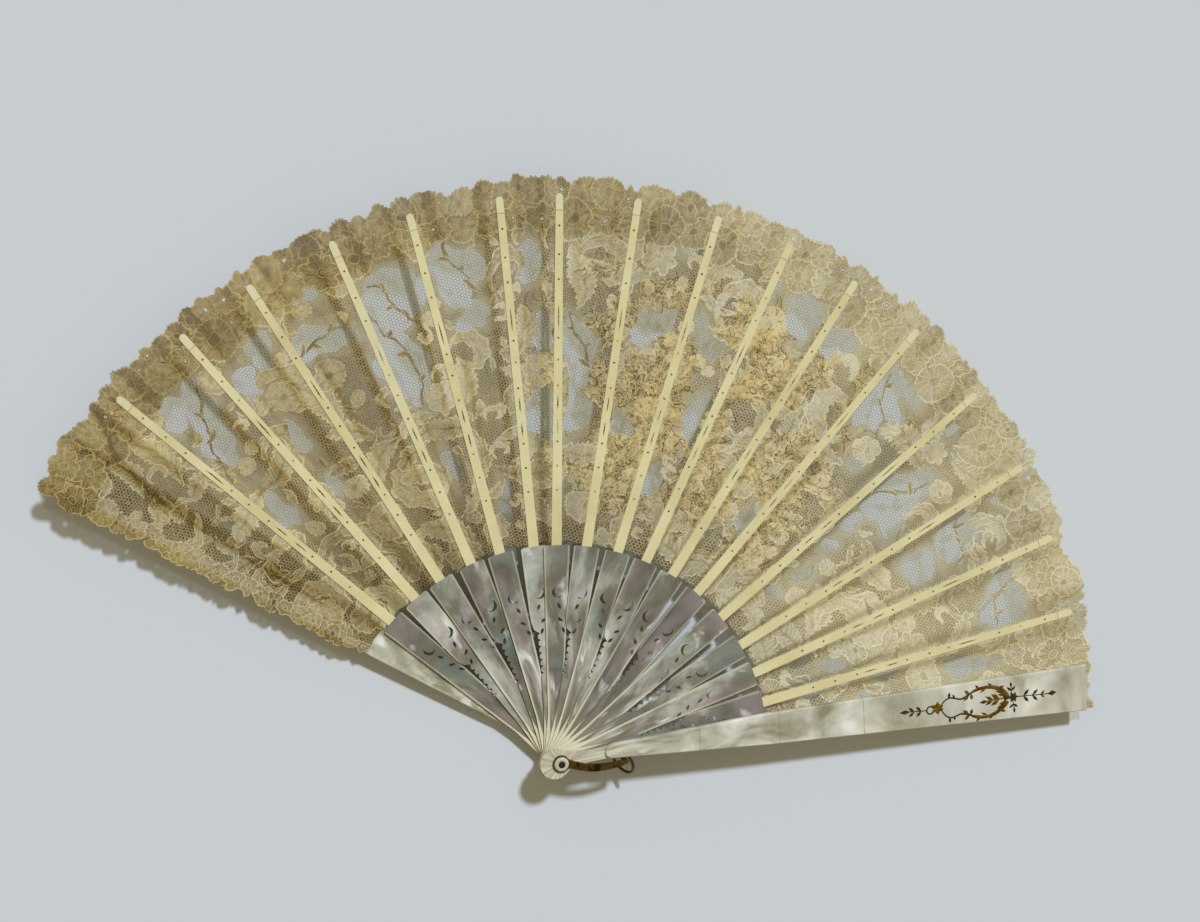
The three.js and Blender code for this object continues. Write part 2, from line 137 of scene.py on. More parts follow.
@dataclass
class LeafSurface:
    """The pleated middle surface of the lace leaf, face by face.

    Face k lies under stick k and is carried by it. Slope k hangs between stick k and the next one.
    """

    sizes: FanSizes
    # Room past the rear guard's fold for the scallops, the least run of a fold,
    # and the strip beside a rib that the folds' grime and painted shade leave alone
    edge_room: float = 4.0
    least_run: float = 0.2
    unmarked_past_rib: float = 1.0

    def __post_init__(self) -> None:
        """Keeps the sticks' directions in radians."""
        self.turns = np.radians(self.sizes.directions)

    def along(self, x: np.ndarray) -> np.ndarray:
        """Share of the leaf's length at distance x."""
        s = self.sizes
        return (x - s.leaf_start) / (s.leaf_radius - s.leaf_start)

    def between(self, pair: tuple, x: np.ndarray) -> np.ndarray:
        """A width that runs from pair[0] at the gorge to pair[1] at the edge."""
        return pair[0] + (pair[1] - pair[0]) * self.along(x)

    def left_half(self, k: int, x: np.ndarray) -> np.ndarray:
        """Half width of face k on its left.

        Args:
            k: Number of the stick, 0 for the rear guard.
            x: Distances along the stick, in millimetres.

        Returns:
            Half widths in millimetres.
        """
        s = self.sizes
        if k == 0:
            return self.between(s.guard_outer, x) + self.between(s.overhang, x)
        return self.between(s.guard_face if k == s.last else s.face_half, x)

    def right_half(self, k: int, x: np.ndarray) -> np.ndarray:
        """Half width of face k on its right.

        Args:
            k: Number of the stick, 0 for the rear guard.
            x: Distances along the stick, in millimetres.

        Returns:
            Half widths in millimetres.
        """
        s = self.sizes
        if k == 0:
            return self.between(s.guard_face, x)
        return self.between(s.guard_outer if k == s.last else s.face_half, x)

    def level(self, k: int) -> float:
        """Height of face k.

        Args:
            k: Number of the stick, 0 for the rear guard.

        Returns:
            Height in millimetres.
        """
        s = self.sizes
        if k == 0:
            return s.rear_level + s.leaf_gap
        if k == s.last:
            return s.front_level - s.leaf_gap
        return s.first_stick + s.pitch * (k - 1) - s.leaf_gap

    def pleat(self, k: int) -> float:
        """Rise of face k's folds over its level."""
        return 0.0 if k in (0, self.sizes.last) else self.sizes.pleat

    def room(self, k: int) -> float:
        """Room past face k's left fold for the scalloped edge, which only the rear guard's face has."""
        return self.edge_room if k == 0 else 0.0

    def rib_half(self, x: np.ndarray) -> np.ndarray:
        """Half width of a rib at distance x.

        Args:
            x: Distances along the stick, in millimetres.

        Returns:
            Half widths in millimetres.
        """
        s = self.sizes
        share = (x - s.rib_start) / (s.rib_reach - s.rib_start)
        return (s.rib_root + (s.rib_tip - s.rib_root) * share) / 2

    def face_height(self, k: int, x: np.ndarray, y: np.ndarray) -> np.ndarray:
        """Height of face k at x along and y to the left of its stick.

        Args:
            k: Number of the stick, 0 for the rear guard.
            x: Distances along the stick, in millimetres.
            y: Distances to the left of the stick, in millimetres.

        Returns:
            Heights in millimetres.
        """
        flat = self.rib_half(x) + self.sizes.flat_past_rib
        reach = np.where(y > 0, self.left_half(k, x), self.right_half(k, x))
        rise = smooth((np.abs(y) - flat) / np.maximum(reach - flat, self.least_run))
        return self.level(k) + np.sign(y) * self.pleat(k) * rise

    def fold_levels(self, k: int) -> tuple:
        """Heights of slope k's two folds: at stick k and at the next stick."""
        return self.level(k) - self.pleat(k), self.level(k + 1) + self.pleat(k + 1)

    def to_plan(self, k: int, x: np.ndarray, y: np.ndarray) -> tuple:
        """Row-frame x and y of a point in stick k's frame."""
        c, s = math.cos(self.turns[k]), math.sin(self.turns[k])
        return c * x - s * y, s * x + c * y

    def to_stick(self, k: int, px: np.ndarray, py: np.ndarray) -> tuple:
        """Stick k's own x and y of a point in the row frame."""
        c, s = math.cos(self.turns[k]), math.sin(self.turns[k])
        return c * px + s * py, -s * px + c * py

    def face_grid(self, k: int, rows: np.ndarray, columns: int) -> tuple:
        """Row-frame points of face k, from its left fold to its right one.

        Args:
            k: Number of the stick, 0 for the rear guard.
            rows: Distances of the grid's rows.
            columns: Number of points in a row.

        Returns:
            Arrays of x, y and height.
        """
        share = np.linspace(0.0, 1.0, columns)[None, :]
        x = np.repeat(rows[:, None], columns, axis=1)
        left = self.left_half(k, x) + self.room(k)
        y = left + (-self.right_half(k, x) - left) * share
        return *self.to_plan(k, x, y), self.face_height(k, x, y)

    def slope_grid(self, k: int, rows: np.ndarray, columns: int) -> tuple:
        """Row-frame points of slope k from stick k's fold to the next stick's.

        Args:
            k: Number of the stick, 0 for the rear guard.
            rows: Distances of the grid's rows.
            columns: Number of points in a row.

        Returns:
            Arrays of x, y and height.
        """
        share = np.linspace(0.0, 1.0, columns)[None, :]
        x = rows[:, None]
        ax, ay = self.to_plan(k, x, -self.right_half(k, x))
        bx, by = self.to_plan(k + 1, x, self.left_half(k + 1, x))
        low, high = self.fold_levels(k)
        height = low + (high - low) * smooth(share) + 0.0 * x
        return ax + (bx - ax) * share, ay + (by - ay) * share, height

    def locate(self, px: np.ndarray, py: np.ndarray) -> tuple:
        """Piece number of plan points, and how near a fold they are from 0 to 1.

        Piece 2k is face k, 2k + 1 is slope k and -1 is none.

        Args:
            px: Their x in plan.
            py: Their y in plan.

        Returns:
            Piece numbers, and shares that are 1 at a fold.
        """
        s = self.sizes
        piece = np.full(px.shape, -1)
        fold = np.zeros(px.shape)
        for k in range(s.last + 1):
            x, y = self.to_stick(k, px, py)
            left, right = self.left_half(k, x), self.right_half(k, x)
            inside = (y <= left + self.room(k)) & (y >= -right) & (x > 0)
            piece[inside] = 2 * k
            flat = self.rib_half(x) + self.unmarked_past_rib
            reach = np.where(y > 0, left, right)
            fold[inside] = smooth((np.abs(y) - flat) / np.maximum(reach - flat, self.least_run))[inside]
            if k < s.last:
                x2, y2 = self.to_stick(k + 1, px, py)
                before = -right - y
                after = y2 - self.left_half(k + 1, x2)
                within = (before > 0) & (after > 0) & (x > 0) & (x2 > 0)
                share = before / np.maximum(before + after, 1e-6)
                piece[within] = 2 * k + 1
                fold[within] = np.abs(2.0 * share - 1.0)[within]
        return piece, fold


class Motif(Enum):
    """Kinds of worked motif in the lace."""

    LEAF = "leaf"
    FLOWER = "flower"
    ROSETTE = "rosette"
    SCROLL = "scroll"


@dataclass(frozen=True)
class LaceTones:
    """Screen colours of the lace threads, from dark to light."""

    deep: Screen = (118, 98, 62)
    brown: Screen = (166, 149, 112)
    tan: Screen = (198, 187, 155)
    ecru: Screen = (224, 215, 188)
    light: Screen = (246, 240, 222)
    net: Screen = (186, 181, 160)

    def ramp(self, value: np.ndarray) -> np.ndarray:
        """Linear colours for values from 0, deep, to 1, light.

        Args:
            value: Values from 0 to 1.

        Returns:
            Linear colours in the last axis.
        """
        stops = np.array([srgb(*c)[:3] for c in (self.deep, self.brown, self.tan, self.ecru, self.light)])
        at = np.linspace(0.0, 1.0, len(stops))
        return np.stack([np.interp(value, at, stops[:, i]) for i in range(3)], axis=-1)


@dataclass
class LaceDesign:
    """The worked pattern of the leaf, drawn on a fine raster in plan.

    cloth is above 0 where there is worked cloth and below 0 in the open net, in millimetres;
    shade runs from 0, dark, to 1, light; relief is the height of the work over the net;
    flow is the direction of the threads, and gold is the share of raised golden thread work;
    open is the share of gaps between the threads; age_and_shade and warm are what the thread's years, stains
    and painted shade add to tone and warmth.
    """

    surface: LeafSurface
    seed: int = 11
    # Work that is left off close to the pearl, and how much cloth may pass the plain outline
    hem: float = 0.3
    past_outline: float = 9.0
    # Tones of the motifs, the border, the stems and their buds, and the cloth under a rib, painted dark as
    # shade
    motif_tone: float = 0.60
    border_tone: float = 0.53
    stem_tone: float = 0.34
    bud_tone: float = 0.42
    rib_shade_tone: float = 0.05
    # The middle tone, and how far the worked tones are spread about it
    middle_tone: float = 0.55
    contrast: float = 1.6
    # Widths of the raised cords: round a large motif, and the fine ones within it
    cord_bold: float = 0.46
    cord_fine: float = 0.24

    # The raster's step and corners
    STEP = 0.4
    LOW = (-266.0, 14.0)
    HIGH = (266.0, 276.0)
    # How much longer and wider the windows are drawn than listed
    WIDER = (1.2, 1.4)
    # Places tried for a motif, the large ones first, and where the outer border begins
    TRIES = 2400
    LARGE_TRIES = 900
    BORDER_FROM = 244.0
    # A leaf's bow, half width and half width between its cords, as shares of its size
    LEAF_BOW, LEAF_HALF, LEAF_CORD = 0.30, 0.38, 0.35
    # Distance that stands for any place past a motif's ends
    OUTSIDE = -2.0
    # Open net windows: centre, half length, half width and direction, as they lie on the fan
    WINDOWS = (
        (-208, 117, 7.9, 4.8, 142), (-187, 111, 21.6, 5.6, 129), (-149, 84, 13.7, 3.1, 152),
        (-196, 156, 3.5, 3.0, 153), (-164, 184, 11.4, 4.4, 49), (-154, 162, 13.2, 5.8, 34),
        (-177, 152, 8.8, 4.8, 138), (-178, 138, 8.0, 3.9, 133), (-124, 188, 12.5, 8.9, 174),
        (-147, 199, 3.1, 2.6, 164), (-117, 163, 21.8, 7.5, 132), (-101, 206, 12.1, 8.5, 120),
        (-126, 197, 7.1, 4.9, 14), (-89, 188, 8.9, 3.6, 54), (-69, 219, 9.9, 4.1, 115),
        (-52, 241, 6.3, 3.2, 115), (-55, 189, 10.9, 3.6, 110), (-39, 187, 14.6, 5.5, 110),
        (-48, 153, 10.1, 5.9, 110), (-31, 159, 9.2, 4.6, 107), (1, 245, 5.9, 4.2, 64),
        (-12, 256, 3.7, 1.3, 5), (44, 236, 6.4, 1.9, 74), (61, 227, 9.2, 5.8, 74),
        (-9, 205, 10.1, 4.6, 43), (20, 202, 11.6, 3.3, 121), (77, 215, 5.6, 4.3, 53),
        (22, 167, 11.0, 3.8, 80), (-10, 157, 4.7, 3.2, 135), (83, 220, 10.4, 5.3, 43),
        (108, 195, 14.9, 7.0, 79), (112, 206, 7.6, 5.4, 53), (122, 202, 4.8, 1.9, 127),
        (127, 154, 16.5, 7.9, 37), (165, 187, 5.8, 2.5, 117), (180, 165, 4.0, 2.4, 137),
        (161, 152, 6.2, 5.1, 52), (103, 166, 3.9, 3.3, 13), (108, 137, 5.7, 3.9, 42),
        (146, 191, 5.2, 2.0, 69), (127, 142, 6.8, 4.9, 32), (102, 125, 4.8, 3.0, 42),
        (162, 142, 10.4, 6.7, 85), (147, 125, 7.6, 5.6, 74), (195, 117, 11.5, 7.9, 85),
        (94, 109, 4.8, 2.9, 42), (81, 98, 4.2, 2.9, 47), (111, 55, 5.4, 2.4, 21),
        (105, 70, 3.9, 2.0, 31), (140, 60, 4.0, 2.0, 19), (145, 71, 7.0, 3.0, 23),
        (184, 84, 11.2, 3.5, 19), (119, 70, 5.9, 2.9, 23), (-149, 115, 8.2, 2.6, 138),
        (-130, 101, 6.4, 2.2, 135), (-80, 120, 7.4, 2.7, 124), (-53, 112, 7.5, 2.7, 115),
        (-29, 117, 6.5, 2.3, 107), (12, 136, 8.3, 2.9, 80), (58, 128, 7.4, 2.9, 58),
    )
    # Rust stains: centre and radius
    STAINS = ((-201.6, 76.3, 3.6), (-146.0, 55.4, 3.4), (-206.0, 79.5, 2.2), (-140.5, 53.0, 2.6))
    # The crease beside the left band, along and across the rear guard
    CREASE = ((260.0, -26.0), (245.0, -14.3), (216.0, -6.6), (190.0, -5.4), (156.0, -4.9), (120.0, -4.5))

    def __post_init__(self) -> None:
        """Draws the whole pattern."""
        self.rng = np.random.default_rng(self.seed)
        xs = np.arange(self.LOW[0], self.HIGH[0], self.STEP)
        ys = np.arange(self.LOW[1], self.HIGH[1], self.STEP)
        self.gx, self.gy = np.meshgrid(xs, ys)
        self.radius = np.hypot(self.gx, self.gy)
        self.angle = np.degrees(np.arctan2(self.gy, self.gx))
        self.drift = [self.wander(51), self.wander(61)]
        self.relief = np.zeros(self.gx.shape)
        self.taken = np.zeros(self.gx.shape, bool)
        self.owner = np.zeros(self.gx.shape, int)
        self.laid = 0
        self.cords = []
        self.flow = np.radians(self.angle) + 5.0 * (self.value_noise(13.0, 8) - 0.5)
        self.window = self.open_windows()
        self.within = self.outline()
        self.cloth = np.minimum(0.5 - 1.2 * self.window, self.within)
        self.shade = self.net_ground()
        self.scatter()
        self.stems()
        self.border()
        self.finish()

    def cells(self, x: float, y: float, reach: float) -> tuple:
        """Raster slice that holds a disc.

        Args:
            x: Middle's x in plan.
            y: Middle's y in plan.
            reach: The disc's radius.

        Returns:
            Slices of rows and columns.
        """
        rows, columns = self.gx.shape
        i0 = max(int((y - reach - self.LOW[1]) / self.STEP), 0)
        i1 = min(int((y + reach - self.LOW[1]) / self.STEP) + 2, rows)
        j0 = max(int((x - reach - self.LOW[0]) / self.STEP), 0)
        j1 = min(int((x + reach - self.LOW[0]) / self.STEP) + 2, columns)
        return slice(i0, max(i1, i0)), slice(j0, max(j1, j0))

    def cell(self, x: float, y: float) -> tuple:
        """Row and column of the raster at a point."""
        return int((y - self.LOW[1]) / self.STEP), int((x - self.LOW[0]) / self.STEP)

    def local(self, cut: tuple, x: float, y: float, turn: float) -> tuple:
        """Coordinates along and across a direction, about a point.

        Args:
            cut: Raster slice that the motif lies in.
            x: Middle's x in plan.
            y: Middle's y in plan.
            turn: Direction of the motif in radians.

        Returns:
            Arrays along and across the direction.
        """
        dx = self.gx[cut] - x + self.drift[0][cut]
        dy = self.gy[cut] - y + self.drift[1][cut]
        c, s = math.cos(turn), math.sin(turn)
        return c * dx + s * dy, -s * dx + c * dy

    def wander(self, seed: int) -> np.ndarray:
        """How far the hand work strays from a drawn line, in millimetres."""
        return 2.6 * (self.value_noise(7.0, seed) - 0.5) + 1.2 * (self.value_noise(2.6, seed + 1) - 0.5)

    def net_ground(self) -> np.ndarray:
        """Tones of the ground under the net between the motifs, painted dark brown as the shadowed floor seen
        through the net's holes, thinner beside the windows.

        Returns:
            Tones over the raster.
        """
        depth = 0.20 + 0.34 * self.value_noise(19.0, 71) - 0.14 * smooth((60 - self.angle) / 22)
        edge = smooth((self.window + 5.0) / 5.0)
        self.open = np.clip(0.30 + 0.40 * edge, 0.0, 0.9)
        # The dark tone is painted shade: the floor's shadow as seen through the net.
        return 0.50 - 0.75 * depth

    def open_windows(self) -> np.ndarray:
        """How deep each point lies in an open window, below 0 outside.

        Returns:
            Depths over the raster.
        """
        depth = np.full(self.gx.shape, -9.0)
        for x, y, half, wide, turn in self.WINDOWS:
            cut = self.cells(x, y, half * self.WIDER[0] + 8)
            u, v = self.local(cut, x, y, math.radians(turn))
            ripple = 1.0 + 0.18 * np.sin(3.1 * np.arctan2(v, u) + x)
            half, wide = half * self.WIDER[0], wide * self.WIDER[1]
            rho = np.hypot(u / half, v / wide) / ripple
            depth[cut] = np.maximum(depth[cut], (1.0 - rho) * min(half, wide) * 1.1)
        return depth + 3.6 * (self.value_noise(6.5, 81) - 0.5) * (depth > -6.0)

    def outline(self) -> np.ndarray:
        """Distance inside the plain leaf, before the scalloped edge is added.

        Returns:
            Distances over the raster.
        """
        s = self.surface.sizes
        inner = self.radius - s.leaf_start - self.hem
        outer = s.leaf_radius - 4.0 - self.radius
        x, y = self.surface.to_stick(0, self.gx, self.gy)
        left = self.surface.left_half(0, x) - 2.0 - y
        x, y = self.surface.to_stick(s.last, self.gx, self.gy)
        right = y + self.surface.right_half(s.last, x) - 1.0
        return np.minimum(np.minimum(inner, outer), np.minimum(left, right))

    def put(
        self, cut: tuple, inside: np.ndarray, shade: np.ndarray, relief: np.ndarray, flow: np.ndarray
    ) -> None:
        """Lays one motif over what is there, with a painted shadow on the ground just round it.

        Args:
            cut: Raster slice that the motif lies in.
            inside: Distance inside the motif's edge, below 0 outside.
            shade: Its tones, from 0 to 1.
            relief: Its height over the net.
            flow: Directions of its threads in radians.
        """
        on = inside > 0.0
        self.laid += 1
        self.owner[cut] = np.where(on, self.laid, self.owner[cut])
        allowed = np.minimum(inside, self.within[cut] + self.past_outline)
        self.cloth[cut] = np.maximum(self.cloth[cut], allowed)
        self.taken[cut] |= on
        self.open[cut] = np.where(on, 0.20 - 0.12 * np.clip(relief / 0.2, 0.0, 1.0), self.open[cut])
        # The ground just outside the motif is darkened, no lower than 0.44: the motif's painted shadow.
        below = 1.0 - 0.24 * np.exp(-((np.minimum(inside, 0.0) / 1.1) ** 2))
        shadow = np.maximum(self.shade[cut] * below, np.minimum(self.shade[cut], 0.44))
        self.shade[cut] = np.where(on, shade, shadow)
        self.relief[cut] = np.where(on, np.maximum(relief, 0.04), self.relief[cut])
        self.flow[cut] = np.where(on, flow, self.flow[cut])

    def cord(self, x: float, y: float, turn: float, u: np.ndarray, v: np.ndarray, width: float) -> None:
        """Keeps the line of a raised cord on the motif laid last, given along and across its direction.

        Args:
            x: Middle's x in plan.
            y: Middle's y in plan.
            turn: Direction of the motif in radians.
            u: Distances along the motif's direction.
            v: Distances across it.
            width: The cord's width.
        """
        c, s = math.cos(turn), math.sin(turn)
        px, py = x + c * u - s * v, y + s * u + c * v
        px, py = px - self.sample(self.drift[0], px, py), py - self.sample(self.drift[1], px, py)
        self.cords.append((np.stack([px, py], 1), self.laid, width))

    def round_cord(
        self, x: float, y: float, turn: float, rho: np.ndarray, phi: np.ndarray, width: float
    ) -> None:
        """A cord given by distances and directions about the motif's middle."""
        self.cord(x, y, turn, rho * np.cos(phi), rho * np.sin(phi), width)

    def leaf_half(self, u: np.ndarray, side: np.ndarray | float, size: float, share: float) -> np.ndarray:
        """Half width of a lobed leaf at u along it, on the side 1 or -1."""
        lobes = 1.0 + 0.16 * np.sin(u * 2.4 + 1.5 * side)
        return share * size * np.clip(1.0 - (u / size) ** 2, 0.0, None) * (1.0 + 0.3 * u / size) * lobes

    def leaf(self, x: float, y: float, size: float, turn: float, tone: float) -> None:
        """A curved, lobed leaf with a vein and threads that sweep out from it.

        Args:
            x: Middle's x in plan.
            y: Middle's y in plan.
            size: Half length or radius, in millimetres.
            turn: Direction of the motif in radians.
            tone: Tone of its cloth, from 0 to 1.
        """
        cut = self.cells(x, y, size * 1.1)
        u, v = self.local(cut, x, y, turn)
        v = v - self.LEAF_BOW * u * u / size
        half = self.leaf_half(u, np.sign(v), size, self.LEAF_HALF)
        inside = np.where(np.abs(u) < size, half - np.abs(v), self.OUTSIDE)
        vein = np.exp(-((v / 0.45) ** 2))
        rim = np.exp(-((inside / 0.5) ** 2))
        ribs = np.cos(2 * math.pi * (u - 1.2 * np.abs(v)) / 1.9)
        shade = tone - 0.14 * vein + 0.16 * rim + 0.05 * ribs * (size > 4.5) + 0.07 * u / size
        flow = turn + np.sign(v) * 0.7 + 0.6 * u / size
        self.put(cut, inside, shade, 0.10 + 0.08 * rim, flow)
        self.leaf_cords(x, y, size, turn)

    def leaf_cords(self, x: float, y: float, size: float, turn: float) -> None:
        """The cords along a leaf's edges, and those along its side veins where it is large.

        Args:
            x: Middle's x in plan.
            y: Middle's y in plan.
            size: Half length or radius, in millimetres.
            turn: Direction of the motif in radians.
        """
        wide = self.cord_bold if size > 4.5 else 0.34
        u = np.linspace(-0.98, 0.98, max(int(size * 2.6), 8)) * size
        bow = self.LEAF_BOW * u * u / size
        for side in (1.0, -1.0):
            self.cord(x, y, turn, u, bow + side * self.leaf_half(u, side, size, self.LEAF_CORD), wide)
            if size > 7.0:
                for at in np.arange(-0.7, 0.75, 1.7 / size) * size:
                    t = np.linspace(0.12, 0.9, 6)
                    reach = self.LEAF_CORD * size * (1.0 - (at / size) ** 2)
                    v = self.LEAF_BOW * at * at / size + side * reach * t
                    self.cord(x, y, turn, at + 0.5 * reach * t**1.4, v, self.cord_fine)

    def petal_reach(self, petal: np.ndarray, size: float) -> np.ndarray:
        """Reach of a flower's rim where the petal's share, 1 at its middle, is given."""
        return size * (0.70 + 0.30 * petal**0.6)

    def flower(self, x: float, y: float, size: float, turn: float, tone: float) -> None:
        """A flower of five petals, or seven where it is large, round an open eye.

        Args:
            x: Middle's x in plan.
            y: Middle's y in plan.
            size: Half length or radius, in millimetres.
            turn: Direction of the motif in radians.
            tone: Tone of its cloth, from 0 to 1.
        """
        cut = self.cells(x, y, size * 1.1)
        u, v = self.local(cut, x, y, turn)
        rho, phi = np.hypot(u, v), np.arctan2(v, u)
        count = 5 if size < 6 else 7
        petal = np.abs(np.cos(0.5 * count * phi))
        inside = self.petal_reach(petal, size) - rho
        parting = np.exp(-((petal * rho / 0.5) ** 2))
        rim = np.exp(-((inside / 0.5) ** 2))
        eye = np.exp(-((rho / (0.24 * size)) ** 4))
        rays = np.cos(round(1.1 * math.pi * size) * phi)
        shade = tone - 0.16 * parting + 0.15 * rim + 0.08 * eye + 0.05 * rays * (rho > 0.3 * size)
        self.put(cut, inside, shade, 0.10 + 0.08 * rim - 0.06 * parting + 0.06 * eye, phi + turn)
        phi = np.linspace(0.0, 2 * math.pi, max(int(size * 8), 24))
        petal = np.abs(np.cos(0.5 * count * phi))
        wide = self.cord_bold if size > 4 else 0.3
        self.round_cord(x, y, turn, self.petal_reach(petal, 0.94 * size), phi, wide)
        for n in range(3 * count if size > 4 else 0):
            ray = np.linspace(0.34, 0.78, 5) * size
            self.round_cord(x, y, turn, ray, 2 * math.pi * n / (3 * count) + 0.0 * ray, 0.22)
        self.round_cord(x, y, turn, 0.25 * size + 0.0 * phi, phi, 0.4)
        hole = 0.12 * size - rho
        self.cloth[cut] = np.minimum(self.cloth[cut], -hole)

    def rosette_rim(self, phi: np.ndarray, loops: int, size: float) -> np.ndarray:
        """Reach of a rosette's looped rim."""
        return size + 0.75 * np.abs(np.sin(0.5 * loops * phi)) ** 1.5 - 0.3

    def rosette(self, x: float, y: float, size: float, turn: float, tone: float) -> None:
        """A rosette of worked rings with small pointed loops round its rim.

        Args:
            x: Middle's x in plan.
            y: Middle's y in plan.
            size: Half length or radius, in millimetres.
            turn: Direction of the motif in radians.
            tone: Tone of its cloth, from 0 to 1.
        """
        cut = self.cells(x, y, size * 1.3)
        u, v = self.local(cut, x, y, turn)
        rho, phi = np.hypot(u * 0.92, v), np.arctan2(v, u)
        loops = round(2 * math.pi * size / 1.9)
        inside = self.rosette_rim(phi, loops, size) - rho
        rays = np.cos(round(math.pi * size) * phi + 0.8 * np.sin(2 * phi)) * (rho > 0.35 * size)
        ring = np.exp(-(((rho - 0.52 * size) / 0.5) ** 2))
        eye = np.exp(-((rho / (0.2 * size)) ** 4))
        rim = np.exp(-((inside / 0.6) ** 2))
        shade = tone + 0.06 * rays + 0.09 * ring + 0.10 * rim - 0.10 * eye
        self.put(cut, inside, shade, 0.08 + 0.05 * rays + 0.05 * ring + 0.06 * rim, phi + turn)
        phi = np.linspace(0.0, 2 * math.pi, max(int(size * 9), 30))
        squash = np.hypot(0.92 * np.cos(phi), np.sin(phi))
        self.round_cord(x, y, turn, 0.95 * self.rosette_rim(phi, loops, size) / squash, phi, 0.44)
        self.round_cord(x, y, turn, 0.30 * size / squash, phi, 0.34)
        count = round(1.5 * size)
        for n in range(count):
            rho = np.linspace(0.36, 0.84, 5) * size
            self.round_cord(x, y, turn, rho, 2 * math.pi * n / count + 0.25 * rho / size, self.cord_fine)

    def scroll_band(self, phi: np.ndarray, size: float) -> tuple:
        """Reach of a scroll's middle line and half width of its lobed band."""
        wide = size * 0.30 * np.clip(1.25 - np.abs(phi) / 2.2, 0.0, 1.0) + 0.2
        return size * (0.62 + 0.10 * phi), wide * (1.0 + 0.18 * np.sin(9 * phi))

    def scroll(self, x: float, y: float, size: float, turn: float, tone: float) -> None:
        """A curled band with a lobed outer edge.

        Args:
            x: Middle's x in plan.
            y: Middle's y in plan.
            size: Half length or radius, in millimetres.
            turn: Direction of the motif in radians.
            tone: Tone of its cloth, from 0 to 1.
        """
        cut = self.cells(x, y, size * 1.3)
        u, v = self.local(cut, x, y, turn)
        rho, phi = np.hypot(u, v), np.arctan2(v, u)
        spine, wide = self.scroll_band(phi, size)
        inside = np.where(np.abs(phi) < 2.6, wide - np.abs(rho - spine), self.OUTSIDE)
        rim = np.exp(-((inside / 0.5) ** 2))
        shade = tone + 0.06 * np.cos(round(2.2 * size) * phi) + 0.15 * rim
        self.put(cut, inside, shade, 0.08 + 0.09 * rim, phi + turn + QUARTER_TURN)
        phi = np.linspace(-2.5, 2.5, max(int(size * 4), 16))
        spine, wide = self.scroll_band(phi, size)
        for share, thick in ((0.92, self.cord_bold), (0.35, self.cord_fine)):
            for side in (1.0, -1.0):
                self.round_cord(x, y, turn, spine + side * share * wide, phi, thick)

    def draw(self, kind: Motif, x: float, y: float, size: float, turn: float, tone: float) -> None:
        """Draws one motif of a kind.

        Args:
            kind: The kind of motif.
            x: Middle's x in plan.
            y: Middle's y in plan.
            size: Half length or radius, in millimetres.
            turn: Direction of the motif in radians.
            tone: Tone of its cloth, from 0 to 1.
        """
        makers = {
            Motif.LEAF: self.leaf,
            Motif.FLOWER: self.flower,
            Motif.ROSETTE: self.rosette,
            Motif.SCROLL: self.scroll,
        }
        makers[kind](x, y, size, turn, tone)

    def scatter(self) -> None:
        """Fills the ground with leaves, flowers, scrolls and rosettes that flow along the leaf."""
        rng = self.rng
        s = self.surface.sizes
        kinds = (Motif.LEAF, Motif.LEAF, Motif.SCROLL, Motif.FLOWER, Motif.LEAF, Motif.ROSETTE, Motif.SCROLL)
        for i in range(self.TRIES):
            radius = math.sqrt(rng.uniform((s.leaf_start + 1) ** 2, (s.leaf_radius - 7) ** 2))
            turn = math.radians(rng.uniform(s.directions[-1] - 1, s.directions[0] + 2))
            x, y = radius * math.cos(turn), radius * math.sin(turn)
            kind = kinds[int(rng.integers(len(kinds)))]
            large = i < self.LARGE_TRIES
            round_kind = kind in (Motif.FLOWER, Motif.ROSETTE)
            size = rng.uniform(5.0, 9.0) if round_kind else rng.uniform(9.0, 17.0)
            if not large:
                size = rng.uniform(2.4, 4.0) if round_kind else rng.uniform(3.2, 6.0)
            at = self.cell(x, y)
            if self.window[at] > (-0.45 * size if large else -1.4) or self.within[at] < 0.5:
                continue
            if self.taken[self.cells(x, y, 0.55 * size)].mean() > (0.20 if large else 0.08):
                continue
            flow = turn + 2.2 * math.sin(0.045 * x) * math.cos(0.05 * y) + rng.normal(0.0, 0.5)
            self.draw(kind, x, y, float(size), flow, self.motif_tone + rng.normal(0.0, 0.07))
        self.cloth = np.minimum(self.cloth, 2.0 - self.window * 1.2)
        LOG.info("lace: motifs laid")

    def stems(self) -> None:
        """Thin stems with buds that cross the open windows."""
        for n, (x, y, half, wide, turn) in enumerate(self.WINDOWS):
            if half * wide < 60:
                continue
            turn = math.radians(turn)
            c, s = math.cos(turn), math.sin(turn)
            cut = self.cells(x, y, half + 3)
            u, v = self.local(cut, x, y, turn)
            bow = wide * (0.25 * math.sin(n) + 0.5 * np.cos(1.9 * u / half + n))
            thread = np.where(np.abs(u) < half * 1.1, 0.55 - np.abs(v - bow), self.OUTSIDE)
            self.put(cut, thread, self.stem_tone + 0.0 * u, 0.06 + 0.0 * u, turn + 0.0 * u)
            for i in range(3):
                at = (-0.6 + 0.55 * i) * half
                side = wide * (0.25 * math.sin(n) + 0.5 * math.cos(1.9 * at / half + n))
                lean = turn + (0.9 if (i + n) % 2 else -0.9)
                bud_x = x + c * at - s * side + 1.6 * math.cos(lean)
                bud_y = y + s * at + c * side + 1.6 * math.sin(lean)
                self.leaf(bud_x, bud_y, 2.4 + 0.6 * ((i + n) % 3), lean, self.bud_tone)

